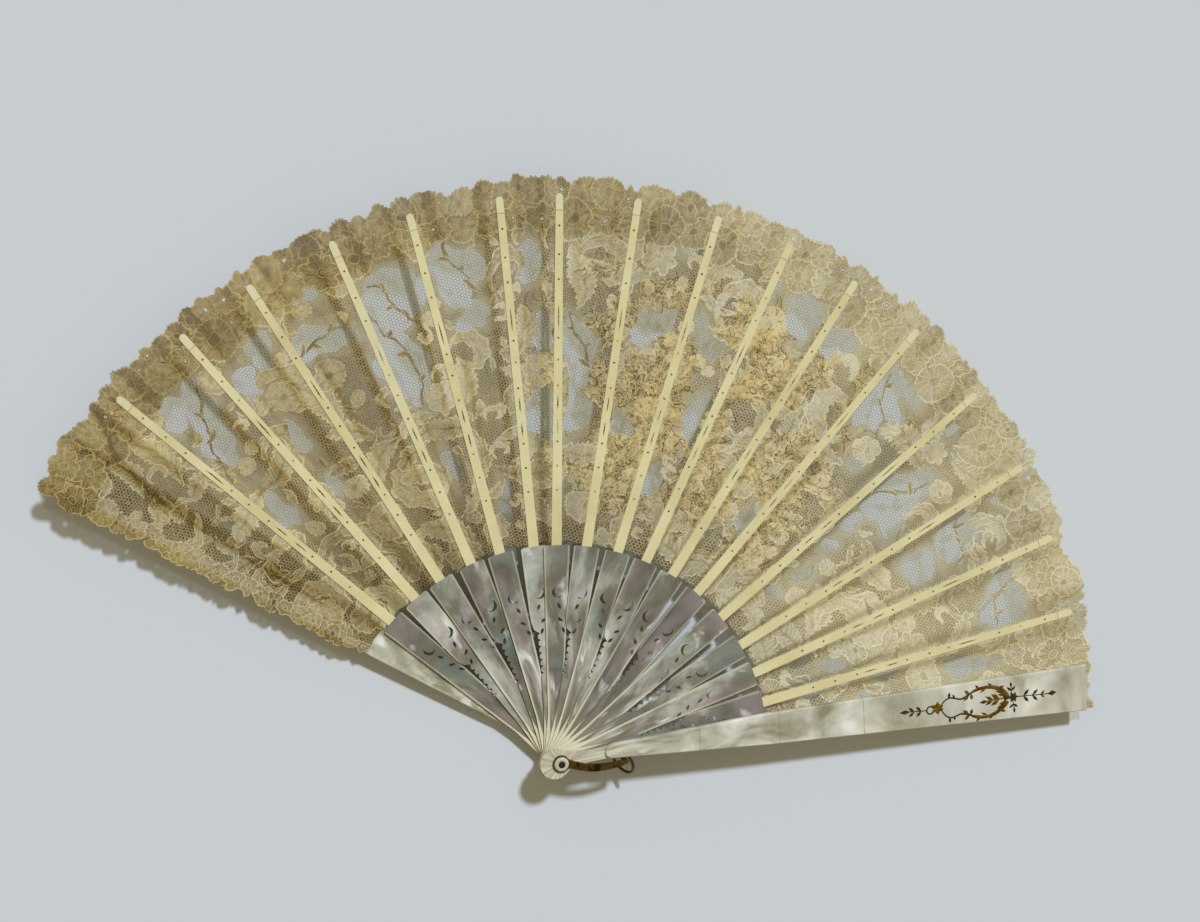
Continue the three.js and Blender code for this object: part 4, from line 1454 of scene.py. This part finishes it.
@dataclass(frozen=True)
class PearlLook:
    """Mother-of-pearl: silvery tones drawn out along the stick, a faint painted sheen, bright painted glints
    and a warm foot.

    A stick's own pearl has pale lines along the blade's two edges, a painted highlight. edges holds the
    blade's half width at its neck and its top, and their distances from the pivot, in millimetres. A
    guard's pearl has none, and dark lines where it is spliced.
    """

    name: str
    dark: Screen
    middle: Screen
    light: Screen
    pink: Screen = (190, 170, 180)
    green: Screen = (164, 178, 174)
    foot: Screen = (138, 129, 104)
    # Tones of the painted glints, of the painted highlight along the edges, and of the splices
    glint_tone: Screen = (250, 250, 248)
    edge_highlight_tone: Screen = (238, 230, 206)
    splice_tone: Screen = (120, 108, 78)
    # sheen and glint are the shares of the painted sheen and the painted glints
    sheen: float = 0.30
    glint: float = 0.75
    swing: float = 2.1
    order: float = 3.0
    by_stick: bool = True
    splices: tuple = ()
    splice_half: float = 0.22
    edges: tuple = (3.4, 6.1, 20.0, 100.0)

    def layers(self, g: Graph, drawn: Socket, lines: Socket) -> Socket:
        """Colour of the pearl's layers: silvery tones, painted sheen and painted glints.

        Args:
            g: The material's graph.
            drawn: Coordinates drawn out along the stick.
            lines: Fine lines along the stick.

        Returns:
            The colour.
        """
        chance = g.add("TexWhiteNoise", {"noise_dimensions": "1D"}, W=self.order).outputs[0]
        cloud = g.noise(drawn, 95.0, 3.0, 0.8, w=self.order)
        own = 0.50 if self.by_stick else 0.0
        share = g.math("MULTIPLY_ADD", g.math("SUBTRACT", cloud, 0.5), self.swing, 0.47)
        share = g.math("MULTIPLY_ADD", g.math("SUBTRACT", chance, 0.5), own, share)
        share = g.math("MULTIPLY_ADD", g.math("SUBTRACT", lines, 0.5), 0.35, share)
        base = g.ramp(share, (0.0, srgb(*self.dark)), (0.5, srgb(*self.middle)), (1.0, srgb(*self.light)))
        # The pink and green play of the nacre, painted into the colour as a sheen.
        hue = g.noise(drawn, 60.0, 2.0, 1.0, w=self.order + 7.3)
        sheen = g.ramp(hue, (0.38, srgb(*self.green)), (0.5, srgb(*self.middle)), (0.62, srgb(*self.pink)))
        # Spots mixed towards near white: painted glints.
        spark = g.noise(drawn, 70.0, 3.0, 1.6, w=self.order + 21.7)
        spark = g.ramp(spark, (0.60, BLACK), (0.70, WHITE))
        colour = g.mix(self.sheen, base, sheen)
        return g.mix(g.math("MULTIPLY", spark, self.glint), colour, srgb(*self.glint_tone))

    def edge_highlight_share(self, g: Graph, along: Socket, across: Socket) -> Socket:
        """Share of the painted highlight along the blade's edges, fainter towards its top.

        Args:
            g: The material's graph.
            along: Distance along the stick.
            across: Distance across the stick.

        Returns:
            The share, from 0 to 1.
        """
        low, high, start, end = self.edges
        pace = (high - low) / (end - start)
        half = g.math("MULTIPLY_ADD", along, pace, (low - pace * start) * MM)
        inset = g.math("MULTIPLY", g.math("SUBTRACT", half, g.math("ABSOLUTE", across)), 400.0)
        pale = g.ramp(inset, (0.18, WHITE), (0.36, BLACK))
        fade = g.ramp(g.math("MULTIPLY", along, 10.0), (0.25, (0.8, 0.8, 0.8, 1)), (0.7, (0.3, 0.3, 0.3, 1)))
        return g.math("MULTIPLY", pale, fade)

    def make(self) -> bpy.types.Material:
        """Lays the nodes of the finish.

        Returns:
            The material.
        """
        g = Graph(self.name)
        x, y, reach = g.plan(g.place())
        around = g.math("MULTIPLY", g.math("ARCTAN2", y, x), 0.06)
        drawn = g.add("CombineXYZ", X=g.math("MULTIPLY", reach, 0.4), Y=around).outputs[0]
        lines = g.noise(drawn, 420.0, 2.0, 1.5, w=self.order)
        colour = self.layers(g, drawn, lines)
        near = g.ramp(g.math("MULTIPLY", reach, 10.0), (0.16, WHITE), (0.40, BLACK))
        colour = g.mix(g.math("MULTIPLY", near, 0.45), colour, srgb(*self.foot))
        turn = math.radians(SIZES.directions[int(self.order) if self.by_stick else -1])
        along = g.scaled_sum(x, y, math.cos(turn), math.sin(turn))
        if self.by_stick:
            across = g.scaled_sum(x, y, -math.sin(turn), math.cos(turn))
            # Pale lines along the blade's edges: a painted highlight.
            colour = g.mix(self.edge_highlight_share(g, along, across), colour, srgb(*self.edge_highlight_tone))
        for at in self.splices:
            away = g.math("ABSOLUTE", g.math("SUBTRACT", along, at * MM))
            line = g.math("LESS_THAN", away, self.splice_half * MM)
            colour = g.mix(g.math("MULTIPLY", line, 0.45), colour, srgb(*self.splice_tone))
        wave = g.noise(drawn, 120.0, 2.0, 0.6, w=self.order)
        height = g.math("ADD", wave, g.math("MULTIPLY", lines, 0.2))
        g.surface(Base_Color=colour, Roughness=0.45, IOR=1.5, Specular_IOR_Level=0.3)
        g.surface(Normal=g.bump(height, 0.25, 0.0012))
        return g.material


@dataclass(frozen=True)
class EdgeLook:
    """A plain finish, a little clouded: the edges of the pearl pieces, the sticks' ones painted near white as
    a highlight, and the brown inlay.
    """

    name: str
    tone: Screen

    def make(self) -> bpy.types.Material:
        """Lays the nodes of the finish.

        Returns:
            The material.
        """
        g = Graph(self.name)
        cloud = g.noise(g.place(), 300.0, 3.0)
        darker = tuple(0.8 * value for value in self.tone)
        colour = g.ramp(cloud, (0.3, srgb(*darker)), (0.7, srgb(*self.tone)))
        g.surface(Base_Color=colour, Roughness=0.35)
        return g.material


@dataclass(frozen=True)
class BoneLook:
    """Yellowed bone with a faint grain, and a paler tip past a fine joint line.

    tip_from and joint_half are in metres.
    """

    name: str = "rib_bone"
    pale: Screen = (234, 224, 180)
    deep: Screen = (212, 199, 148)
    tip: Screen = (228, 224, 196)
    joint: Screen = (130, 112, 70)
    tip_from: float = 0.2525
    joint_half: float = 0.00025

    def make(self) -> bpy.types.Material:
        """Lays the nodes of the finish.

        Returns:
            The material.
        """
        g = Graph(self.name)
        place = g.place()
        cloud = g.noise(place, 45.0, 3.0)
        grain = g.noise(place, 900.0, 2.0, 0.4)
        share = g.math("MULTIPLY_ADD", grain, 0.35, g.math("MULTIPLY_ADD", cloud, 1.3, -0.35))
        colour = g.ramp(share, (0.1, srgb(*self.deep)), (0.8, srgb(*self.pale)))
        reach = g.plan(place)[2]
        past = g.math("GREATER_THAN", reach, self.tip_from)
        colour = g.mix(g.math("MULTIPLY", past, 0.35), colour, srgb(*self.tip))
        away = g.math("ABSOLUTE", g.math("SUBTRACT", reach, self.tip_from))
        line = g.math("LESS_THAN", away, self.joint_half)
        colour = g.mix(g.math("MULTIPLY", line, 0.5), colour, srgb(*self.joint))
        g.surface(Base_Color=colour, Roughness=0.48, IOR=1.5, Normal=g.bump(grain, 0.1, 0.0002))
        return g.material


@dataclass(frozen=True)
class LaceLook:
    """Aged lace thread, coloured by its worked tone, with fibre grain and some light passing through.

    through is the share of light that glows through the thread. openwork is the share of the lamps'
    light that passes between the threads, warmed by tint; it falls to nothing close to the pearl.
    """

    name: str = "leaf_lace"
    through: float = 0.38
    openwork: float = 0.75
    tint: Colour = (1.0, 0.95, 0.80, 1.0)
    fibre_dark: Screen = (176, 172, 164)
    fibre_light: Screen = (255, 255, 255)

    def make(self) -> bpy.types.Material:
        """Lays the nodes of the finish.

        Returns:
            The material.
        """
        g = Graph(self.name)
        place = g.place()
        source = g.add("Attribute", {"attribute_name": "lace_tone"})
        fibre = g.noise(place, 1500.0, 2.0, 0.6)
        grain = g.ramp(fibre, (0.3, srgb(*self.fibre_dark)), (0.7, srgb(*self.fibre_light)))
        colour = g.mix(0.30, source.outputs["Color"], grain, "MULTIPLY")
        normal = g.bump(fibre, 0.3, 0.0003)
        g.surface(Base_Color=colour, Roughness=0.92, Specular_IOR_Level=0.15, Sheen_Weight=0.1, Normal=normal)
        glow = g.add("BsdfTranslucent", Color=colour, Normal=normal)
        thread = g.add("MixShader", Fac=self.through, _1=g.shader.outputs[0], _2=glow.outputs[0])
        away = g.ramp(g.math("MULTIPLY", g.plan(place)[2], 5.0), (0.58, BLACK), (0.70, WHITE))
        thin = g.math("MULTIPLY", away, -self.openwork)
        passing = g.math("MULTIPLY_ADD", g.add("LightPath").outputs["Is Shadow Ray"], thin, 1.0)
        share = g.math("MULTIPLY", source.outputs["Alpha"], passing)
        gap = g.add("BsdfTransparent", Color=self.tint)
        cover = g.add("MixShader", Fac=share, _1=gap.outputs[0], _2=thread.outputs[0])
        g.put(g.tree.nodes["Material Output"], "Surface", cover.outputs[0])
        return g.material


@dataclass(frozen=True)
class MetalLook:
    """Worn metal with darker tarnish in patches."""

    name: str
    bright: Screen
    tarnish: Screen
    rough: float = 0.32

    def make(self) -> bpy.types.Material:
        """Lays the nodes of the finish.

        Returns:
            The material.
        """
        g = Graph(self.name)
        place = g.place()
        patch = g.noise(place, 260.0, 4.0, 0.8)
        colour = g.ramp(patch, (0.35, srgb(*self.tarnish)), (0.62, srgb(*self.bright)))
        rough = g.math("MULTIPLY_ADD", patch, -0.25, self.rough + 0.15)
        g.surface(Base_Color=colour, Metallic=1.0, Roughness=rough, Normal=g.bump(patch, 0.15, 0.0003))
        return g.material


class Tone(Enum):
    """Finishes of the guard's inlay."""

    GOLD = "gold"
    BROWN = "brown"


@dataclass
class Ornament:
    """Gilt and brown inlay on the front guard's face, drawn in the guard's own millimetres.

    Each stroke is a line of (along, across, half width) points; a leaf is a short stroke, widest half way.
    """

    ARMS = (
        (Tone.BROWN, ((186.5, 2.2, 0.3), (188.5, 4.2, 0.35), (191.0, 5.2, 0.4), (194.0, 4.5, 0.4),
                      (196.7, 3.9, 0.45), (199.0, 4.6, 0.5), (201.3, 5.9, 0.7))),
        (Tone.GOLD, ((201.3, 5.9, 0.5), (204.0, 7.2, 0.7), (207.2, 7.8, 0.8), (211.0, 7.9, 0.9),
                     (214.1, 7.3, 1.0), (217.0, 5.9, 1.1), (218.8, 4.1, 1.4), (220.0, 2.0, 1.6),
                     (220.4, 0.4, 1.5))),
        (Tone.BROWN, ((186.5, -0.2, 0.3), (188.3, -2.8, 0.35), (190.7, -4.5, 0.4), (193.6, -4.3, 0.4),
                      (196.4, -3.5, 0.45), (199.0, -3.9, 0.5), (201.0, -4.6, 0.7))),
        (Tone.GOLD, ((201.0, -4.6, 0.5), (204.0, -6.0, 0.7), (207.8, -6.6, 0.8), (211.5, -6.3, 0.9),
                     (214.8, -5.2, 1.0), (217.4, -3.4, 1.1), (219.2, -1.6, 1.4), (220.2, -0.2, 1.5))),
        (Tone.BROWN, ((203.0, 6.3, 0.2), (207.2, 7.3, 0.25), (212.0, 7.4, 0.25), (216.5, 5.6, 0.2))),
        (Tone.BROWN, ((203.0, -5.1, 0.2), (207.8, -6.0, 0.25), (212.0, -5.8, 0.25), (216.6, -3.4, 0.2))),
        (Tone.BROWN, ((170.0, 1.2, 0.25), (175.0, 0.8, 0.25), (178.8, 0.6, 0.25))),
        (Tone.BROWN, ((225.5, 1.1, 0.25), (231.2, 0.9, 0.25), (235.8, 0.6, 0.25), (241.7, 0.4, 0.25))),
        (Tone.BROWN, ((223.0, 3.0, 0.22), (222.6, 5.0, 0.22), (222.7, 7.0, 0.2))),
        (Tone.BROWN, ((223.4, -0.6, 0.22), (223.7, -2.6, 0.22), (224.0, -4.8, 0.2))),
        (Tone.GOLD, ((218.5, 1.2, 0.4), (215.0, 1.3, 0.4), (212.0, 1.2, 0.35), (208.5, 0.7, 0.3))),
    )
    # Leaves: foot, tip and half width
    LEAVES = (
        (Tone.BROWN, (170.5, 1.2), (165.3, 1.3), 0.8), (Tone.BROWN, (172.6, 1.0), (169.9, 3.3), 0.55),
        (Tone.BROWN, (172.6, 0.8), (170.0, -1.5), 0.55), (Tone.BROWN, (176.2, 0.8), (173.7, 3.3), 0.6),
        (Tone.BROWN, (176.2, 0.6), (173.8, -1.8), 0.6), (Tone.BROWN, (190.6, 5.0), (190.9, 8.0), 0.55),
        (Tone.BROWN, (193.6, 4.5), (192.6, 6.8), 0.45), (Tone.BROWN, (190.6, -4.4), (190.9, -7.2), 0.55),
        (Tone.BROWN, (193.6, -4.2), (192.8, -6.2), 0.45), (Tone.GOLD, (201.0, 5.6), (197.9, 2.6), 0.75),
        (Tone.GOLD, (201.0, 5.8), (198.6, 7.8), 0.7), (Tone.GOLD, (202.0, 5.8), (202.4, 2.6), 0.7),
        (Tone.GOLD, (200.6, -4.4), (197.5, -1.8), 0.75), (Tone.GOLD, (200.6, -4.6), (198.4, -6.8), 0.7),
        (Tone.GOLD, (201.6, -4.6), (202.2, -1.6), 0.7), (Tone.BROWN, (206.0, 7.9), (204.2, 9.7), 0.45),
        (Tone.BROWN, (213.0, 8.0), (210.8, 9.8), 0.45), (Tone.BROWN, (206.0, -6.6), (204.2, -8.4), 0.45),
        (Tone.BROWN, (213.0, -6.0), (211.0, -8.2), 0.45), (Tone.GOLD, (216.4, 1.3), (212.2, 4.2), 0.85),
        (Tone.GOLD, (216.4, 1.1), (212.0, -1.6), 0.85), (Tone.GOLD, (213.2, 1.3), (209.2, 3.4), 0.6),
        (Tone.GOLD, (213.2, 1.1), (209.0, -1.0), 0.6), (Tone.BROWN, (210.4, 0.9), (206.2, 0.7), 0.7),
        (Tone.BROWN, (222.7, 4.4), (220.4, 6.6), 0.5), (Tone.BROWN, (222.7, 4.4), (224.9, 6.6), 0.5),
        (Tone.BROWN, (222.7, 6.2), (222.5, 9.0), 0.5), (Tone.BROWN, (223.6, -2.2), (221.5, -4.2), 0.5),
        (Tone.BROWN, (223.6, -2.2), (225.9, -4.0), 0.5), (Tone.BROWN, (223.9, -4.0), (224.1, -6.8), 0.5),
        (Tone.BROWN, (229.0, 1.0), (231.9, 4.2), 0.65), (Tone.BROWN, (229.0, 0.8), (231.6, -2.2), 0.65),
        (Tone.BROWN, (233.6, 0.8), (236.5, 3.5), 0.6), (Tone.BROWN, (233.6, 0.6), (236.2, -2.2), 0.6),
        (Tone.BROWN, (238.0, 0.6), (240.0, 2.3), 0.4), (Tone.BROWN, (238.0, 0.4), (239.8, -1.2), 0.4),
        (Tone.BROWN, (241.5, 0.4), (246.2, 0.6), 0.95), (Tone.GOLD, (218.4, 4.6), (214.6, 5.4), 0.7),
        (Tone.GOLD, (219.4, 3.0), (215.8, 3.4), 0.7), (Tone.GOLD, (218.6, -2.4), (215.0, -3.2), 0.7),
        (Tone.GOLD, (219.6, -0.8), (216.0, -1.4), 0.6), (Tone.GOLD, (216.0, 6.6), (219.2, 7.4), 0.6),
        (Tone.GOLD, (216.6, -4.2), (219.6, -5.4), 0.6), (Tone.GOLD, (210.0, 7.9), (206.6, 5.6), 0.5),
        (Tone.GOLD, (210.4, -6.4), (206.8, -4.2), 0.5),
    )
    # Flowers: centre, petal length, half width and petal directions in degrees
    FLOWERS = (
        (Tone.GOLD, (184.6, 1.0), 3.3, 0.85, (88, -88, 148, 212, 20, -20)),
        (Tone.BROWN, (223.6, 1.2), 2.8, 0.6, (60, 120, 180, 240, 300, 0)),
    )

    # The small ring beside the first flower: centre, radius and half width
    RING = ((180.9, 0.5), 1.8, 0.38)

    sizes: FanSizes
    looks: dict
    made: dict = field(default_factory=lambda: {tone: [] for tone in Tone})
    # Height over the face and step from stroke to stroke, in millimetres, and how flat a stroke is
    raised: float = 0.02
    layer: float = 0.0006
    flatness: float = 0.09

    def stroke(self, tone: Tone, points: tuple, closed: bool = False) -> None:
        """One flat raised line with a width at each of its points.

        Args:
            tone: The stroke's finish.
            points: Along, across and half width of each point.
            closed: Whether the line closes on itself.
        """
        bpy.ops.curve.primitive_bezier_curve_add()
        piece = bpy.context.object
        line = piece.data
        line.dimensions = "3D"
        line.bevel_depth = MM
        line.bevel_resolution = 2
        line.resolution_u = 5
        spline = line.splines[0]
        spline.bezier_points.add(len(points) - 2)
        spline.use_cyclic_u = closed
        for knot, (along, across, half) in zip(spline.bezier_points, points):
            knot.co = (along * MM, across * MM, 0.0)
            knot.radius = half
            knot.handle_left_type = "AUTO"
            knot.handle_right_type = "AUTO"
        height = self.sizes.front_top + self.raised + self.layer * len(self.made[tone])
        piece.location = (0.0, 0.0, height * MM)
        piece.rotation_euler = (0.0, 0.0, math.radians(self.sizes.directions[-1]))
        piece.scale = (1.0, 1.0, self.flatness)
        self.made[tone].append(piece)

    def leaf(self, tone: Tone, foot: tuple, tip: tuple, half: float) -> None:
        """One pointed leaf."""
        middle = (foot[0] * 0.5 + tip[0] * 0.5, foot[1] * 0.5 + tip[1] * 0.5, half * 1.35)
        self.stroke(tone, ((*foot, 0.18), middle, (*tip, 0.06)))

    def build(self) -> None:
        """Lays all the strokes and joins them by finish."""
        bpy.ops.object.select_all(action="DESELECT")
        for tone, points in self.ARMS:
            self.stroke(tone, points)
        for tone, foot, tip, half in self.LEAVES:
            self.leaf(tone, foot, tip, half)
        for tone, (x, y), length, half, turns in self.FLOWERS:
            for turn in turns:
                reach = math.radians(turn)
                tip = (x + length * math.cos(reach), y + length * math.sin(reach))
                self.leaf(tone, (x, y), tip, half)
        (x, y), radius, half = self.RING
        turns = [math.radians(60 * n) for n in range(6)]
        ring = tuple((x + radius * math.cos(a), y + radius * math.sin(a), half) for a in turns)
        self.stroke(Tone.BROWN, ring, True)
        for tone, pieces in self.made.items():
            bpy.ops.object.select_all(action="DESELECT")
            for piece in pieces:
                piece.select_set(True)
            bpy.context.view_layer.objects.active = pieces[0]
            bpy.ops.object.convert(target="MESH")
            bpy.ops.object.join()
            bpy.ops.object.transform_apply(location=True, rotation=True, scale=True)
            inlay = bpy.context.object
            inlay.name = f"guard_inlay_{tone.value}"
            inlay.data.materials.clear()
            inlay.data.materials.append(self.looks[tone])
            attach(inlay, "front_guard")
            LOG.info("inlay: %s has %d faces", inlay.name, len(inlay.data.polygons))


@dataclass
class Fan:
    """The fan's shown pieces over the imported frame."""

    nodes: dict
    sizes: FanSizes = SIZES
    # Sizes for sheets, which nothing here reads: length and least width in millimetres, and ease of the width
    leaf_depth: float = 168.0
    least_width: float = 10.0
    sheet_ease: float = 1.15
    # Rounded edges in millimetres, and the least angle of an edge that gets one in degrees
    stick_bevel: float = 0.42
    guard_bevel: float = 0.45
    rib_bevel: float = 0.06
    washer_bevel: float = 0.12
    bail_bevel: float = 0.1
    bevel_angle: float = 40.0

    def __post_init__(self) -> None:
        """Makes the finishes."""
        self.surface = LeafSurface(self.sizes)
        pearl = ((76, 74, 64), (123, 119, 105), (218, 216, 206))
        self.pearls = {
            k: PearlLook(f"stick_pearl_{k:02d}", *pearl, order=float(k)).make()
            for k in range(1, self.sizes.sticks + 1)
        }
        warm_sheen = ((206, 190, 164), (176, 178, 152))
        self.guard_pearl = PearlLook(
            "guard_pearl", (132, 125, 100), (206, 202, 190), (248, 247, 243), *warm_sheen, (196, 186, 160),
            sheen=0.25, swing=3.0, by_stick=False, splices=(66.3, 105.4, 147.4),
        ).make()
        self.rear_pearl = PearlLook(
            "rear_guard_pearl", (106, 98, 72), (168, 163, 142), (240, 239, 232), *warm_sheen, (176, 166, 140),
            sheen=0.25, swing=3.0, by_stick=False,
        ).make()
        # The sticks' rounded edges are painted near white as a highlight.
        self.stick_edge_highlight = EdgeLook("stick_edge_highlight", (250, 240, 210)).make()
        self.guard_edge = EdgeLook("guard_edge", (176, 146, 88)).make()
        self.inlay = {
            Tone.GOLD: MetalLook("inlay_gold", (168, 132, 52), (92, 68, 24), 0.42).make(),
            Tone.BROWN: EdgeLook("inlay_brown", (56, 44, 24)).make(),
        }
        self.bone = BoneLook().make()
        self.lace = LaceLook().make()
        self.band_lace = LaceLook("band_lace", openwork=0.0).make()
        self.brass = MetalLook("bail_brass", (132, 110, 60), (58, 46, 22)).make()
        self.steel = MetalLook("pin_steel", (96, 88, 80), (38, 32, 28), 0.4).make()

    def body(self, k: int) -> str:
        """Name of the moving body that stick k belongs to.

        Args:
            k: Number of the stick, 0 for the rear guard.

        Returns:
            The body's name.
        """
        if k == 0:
            return "rear_guard"
        return "front_guard" if k == self.sizes.last else f"stick_{k:02d}"

    def paint(
        self,
        node: str,
        material: bpy.types.Material,
        bevel: float = 0.0,
        edge: bpy.types.Material | None = None,
    ) -> None:
        """Gives a solid its finish and a fine rounded edge, of its own finish where one is given.

        Args:
            node: Name of the solid.
            material: Its finish.
            bevel: Width of the rounded edge in millimetres.
            edge: Finish of the rounded edge, if it has its own.
        """
        piece = self.nodes[node]
        piece.data.materials.clear()
        piece.data.materials.append(material)
        if edge is not None:
            piece.data.materials.append(edge)
        if bevel > 0:
            rounded = piece.modifiers.new("edge", "BEVEL")
            rounded.width = bevel * MM
            rounded.segments = 2
            rounded.limit_method = "ANGLE"
            rounded.angle_limit = math.radians(self.bevel_angle)
            rounded.use_clamp_overlap = edge is None
            rounded.material = -1 if edge is None else 1
        LOG.info("finish: %s", node)

    def paint_solids(self) -> None:
        """Finishes of all the hard pieces."""
        for k in range(1, self.sizes.sticks + 1):
            self.paint(f"pearl_stick_{k:02d}", self.pearls[k], self.stick_bevel, self.stick_edge_highlight)
            self.paint(f"rib_{k:02d}", self.bone, self.rib_bevel)
        self.paint("rear_guard", self.rear_pearl, self.guard_bevel, self.guard_edge)
        self.paint("front_guard", self.guard_pearl, self.guard_bevel, self.guard_edge)
        for name in ("rear_washer", "front_washer"):
            self.paint(name, self.guard_pearl, self.washer_bevel)
        self.paint("pivot_pin", self.steel)
        self.paint("bail", self.brass, self.bail_bevel)
        self.paint("bail_ring", self.brass)

    def cloth_piece(self, name: str, lace: LaceMesh, look: bpy.types.Material) -> bpy.types.Object:
        """A lace piece as an object of the scene.

        Args:
            name: Name of the piece.
            lace: Its mesh.
            look: Its finish.

        Returns:
            The object.
        """
        data = bpy.data.meshes.new(name)
        data.from_pydata((lace.points * MM).tolist(), [], lace.faces.tolist())
        data.polygons.foreach_set("use_smooth", np.ones(len(lace.faces), bool))
        tone = data.attributes.new("lace_tone", "FLOAT_COLOR", "POINT")
        tone.data.foreach_set("color", lace.colours.ravel())
        data.materials.append(look)
        data.update()
        piece = bpy.data.objects.new(name, data)
        bpy.context.scene.collection.objects.link(piece)
        return piece

    def hang_leaf(self) -> None:
        """The lace leaf: faces that ride on the sticks and slopes that hang between them."""
        maker = LaceMaker(self.surface, LaceDesign(self.surface), LaceTones())
        for k in range(self.sizes.last + 1):
            look = self.band_lace if k == 0 else self.lace
            face = self.cloth_piece(f"lace_face_{k:02d}", maker.face(k), look)
            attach(face, self.body(k))
            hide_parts(f"leaf_panel_{k:02d}")
            if k < self.sizes.last:
                slope = self.cloth_piece(f"lace_slope_{k:02d}", maker.slope(k), look)
                low, high = self.surface.fold_levels(k)
                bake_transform(slope)

    def build(self) -> None:
        """Everything that shows."""
        self.paint_solids()
        Ornament(self.sizes, self.inlay).build()
        self.hang_leaf()


@dataclass(frozen=True)
class Studio:
    """Pale floor, sunlight from the fan's top, an even fill and the camera at the photo's place."""

    floor_level: float = -0.0015
    floor_slope: float = 0.05
    floor_colour: Screen = (212, 216, 226)
    fill: Colour = (1.0, 0.86, 0.51, 1.0)
    fill_level: float = 0.33
    key_colour: tuple = (0.833, 0.922, 1.0)
    key_level: float = 2.6
    key_angle: float = 5.0
    key_at: tuple = (-0.2, 3.4, 4.0)
    key_to: tuple = (0.0, 0.13, 0.0)
    camera_at: tuple = (-0.3165954, 0.2568376, 1.0272938)
    camera_turn: tuple = (-0.1466, -0.2722, 0.2401)
    lens: float = 36.0 * 2338.7258 / 1200.0

    def floor(self) -> None:
        """A plain pale floor."""
        lean = (0.0, -math.atan(self.floor_slope), 0.0)
        bpy.ops.mesh.primitive_plane_add(size=12.0, location=(0, 0.1, self.floor_level), rotation=lean)
        floor = bpy.context.object
        floor.name = "floor"
        g = Graph("floor_paper")
        g.surface(Base_Color=srgb(*self.floor_colour), Roughness=0.9)
        floor.data.materials.append(g.material)

    def lights(self) -> None:
        """A wide sun from the top of the fan, for soft shadow edges, and an even fill."""
        world = bpy.data.worlds.new("studio")
        bpy.context.scene.world = world
        world.use_nodes = True
        background = world.node_tree.nodes["Background"]
        background.inputs[0].default_value = self.fill
        background.inputs[1].default_value = self.fill_level
        key = bpy.data.objects.new("key", bpy.data.lights.new("key", "SUN"))
        key.data.energy = self.key_level
        key.data.angle = math.radians(self.key_angle)
        key.data.color = self.key_colour
        self.aim(key, self.key_at, self.key_to)
        bpy.context.scene.collection.objects.link(key)

    def aim(self, lamp: bpy.types.Object, place: tuple, target: tuple) -> None:
        """Puts a lamp at a place, turned to a target."""
        lamp.location = place
        lamp.rotation_euler = (Vector(target) - Vector(place)).to_track_quat("-Z", "Y").to_euler()

    def camera(self) -> None:
        """Camera at the photo's viewing angle."""
        camera = bpy.data.objects.new("camera", bpy.data.cameras.new("camera"))
        camera.data.sensor_width = 36.0
        camera.data.lens = self.lens
        camera.data.clip_start = 0.01
        axis = Vector(self.camera_turn)
        turn = Matrix.Rotation(axis.length, 4, axis.normalized())
        camera.matrix_world = Matrix.Translation(self.camera_at) @ turn
        bpy.context.scene.collection.objects.link(camera)
        bpy.context.scene.camera = camera

    def build(self) -> None:
        """The whole set."""
        self.floor()
        self.lights()
        self.camera()
        bpy.context.scene.view_settings.view_transform = "Standard"


def main() -> None:
    """Builds the scene."""
    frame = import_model()
    Fan(frame["nodes"]).build()
    Studio().build()


if __name__ == "__main__":
    main()
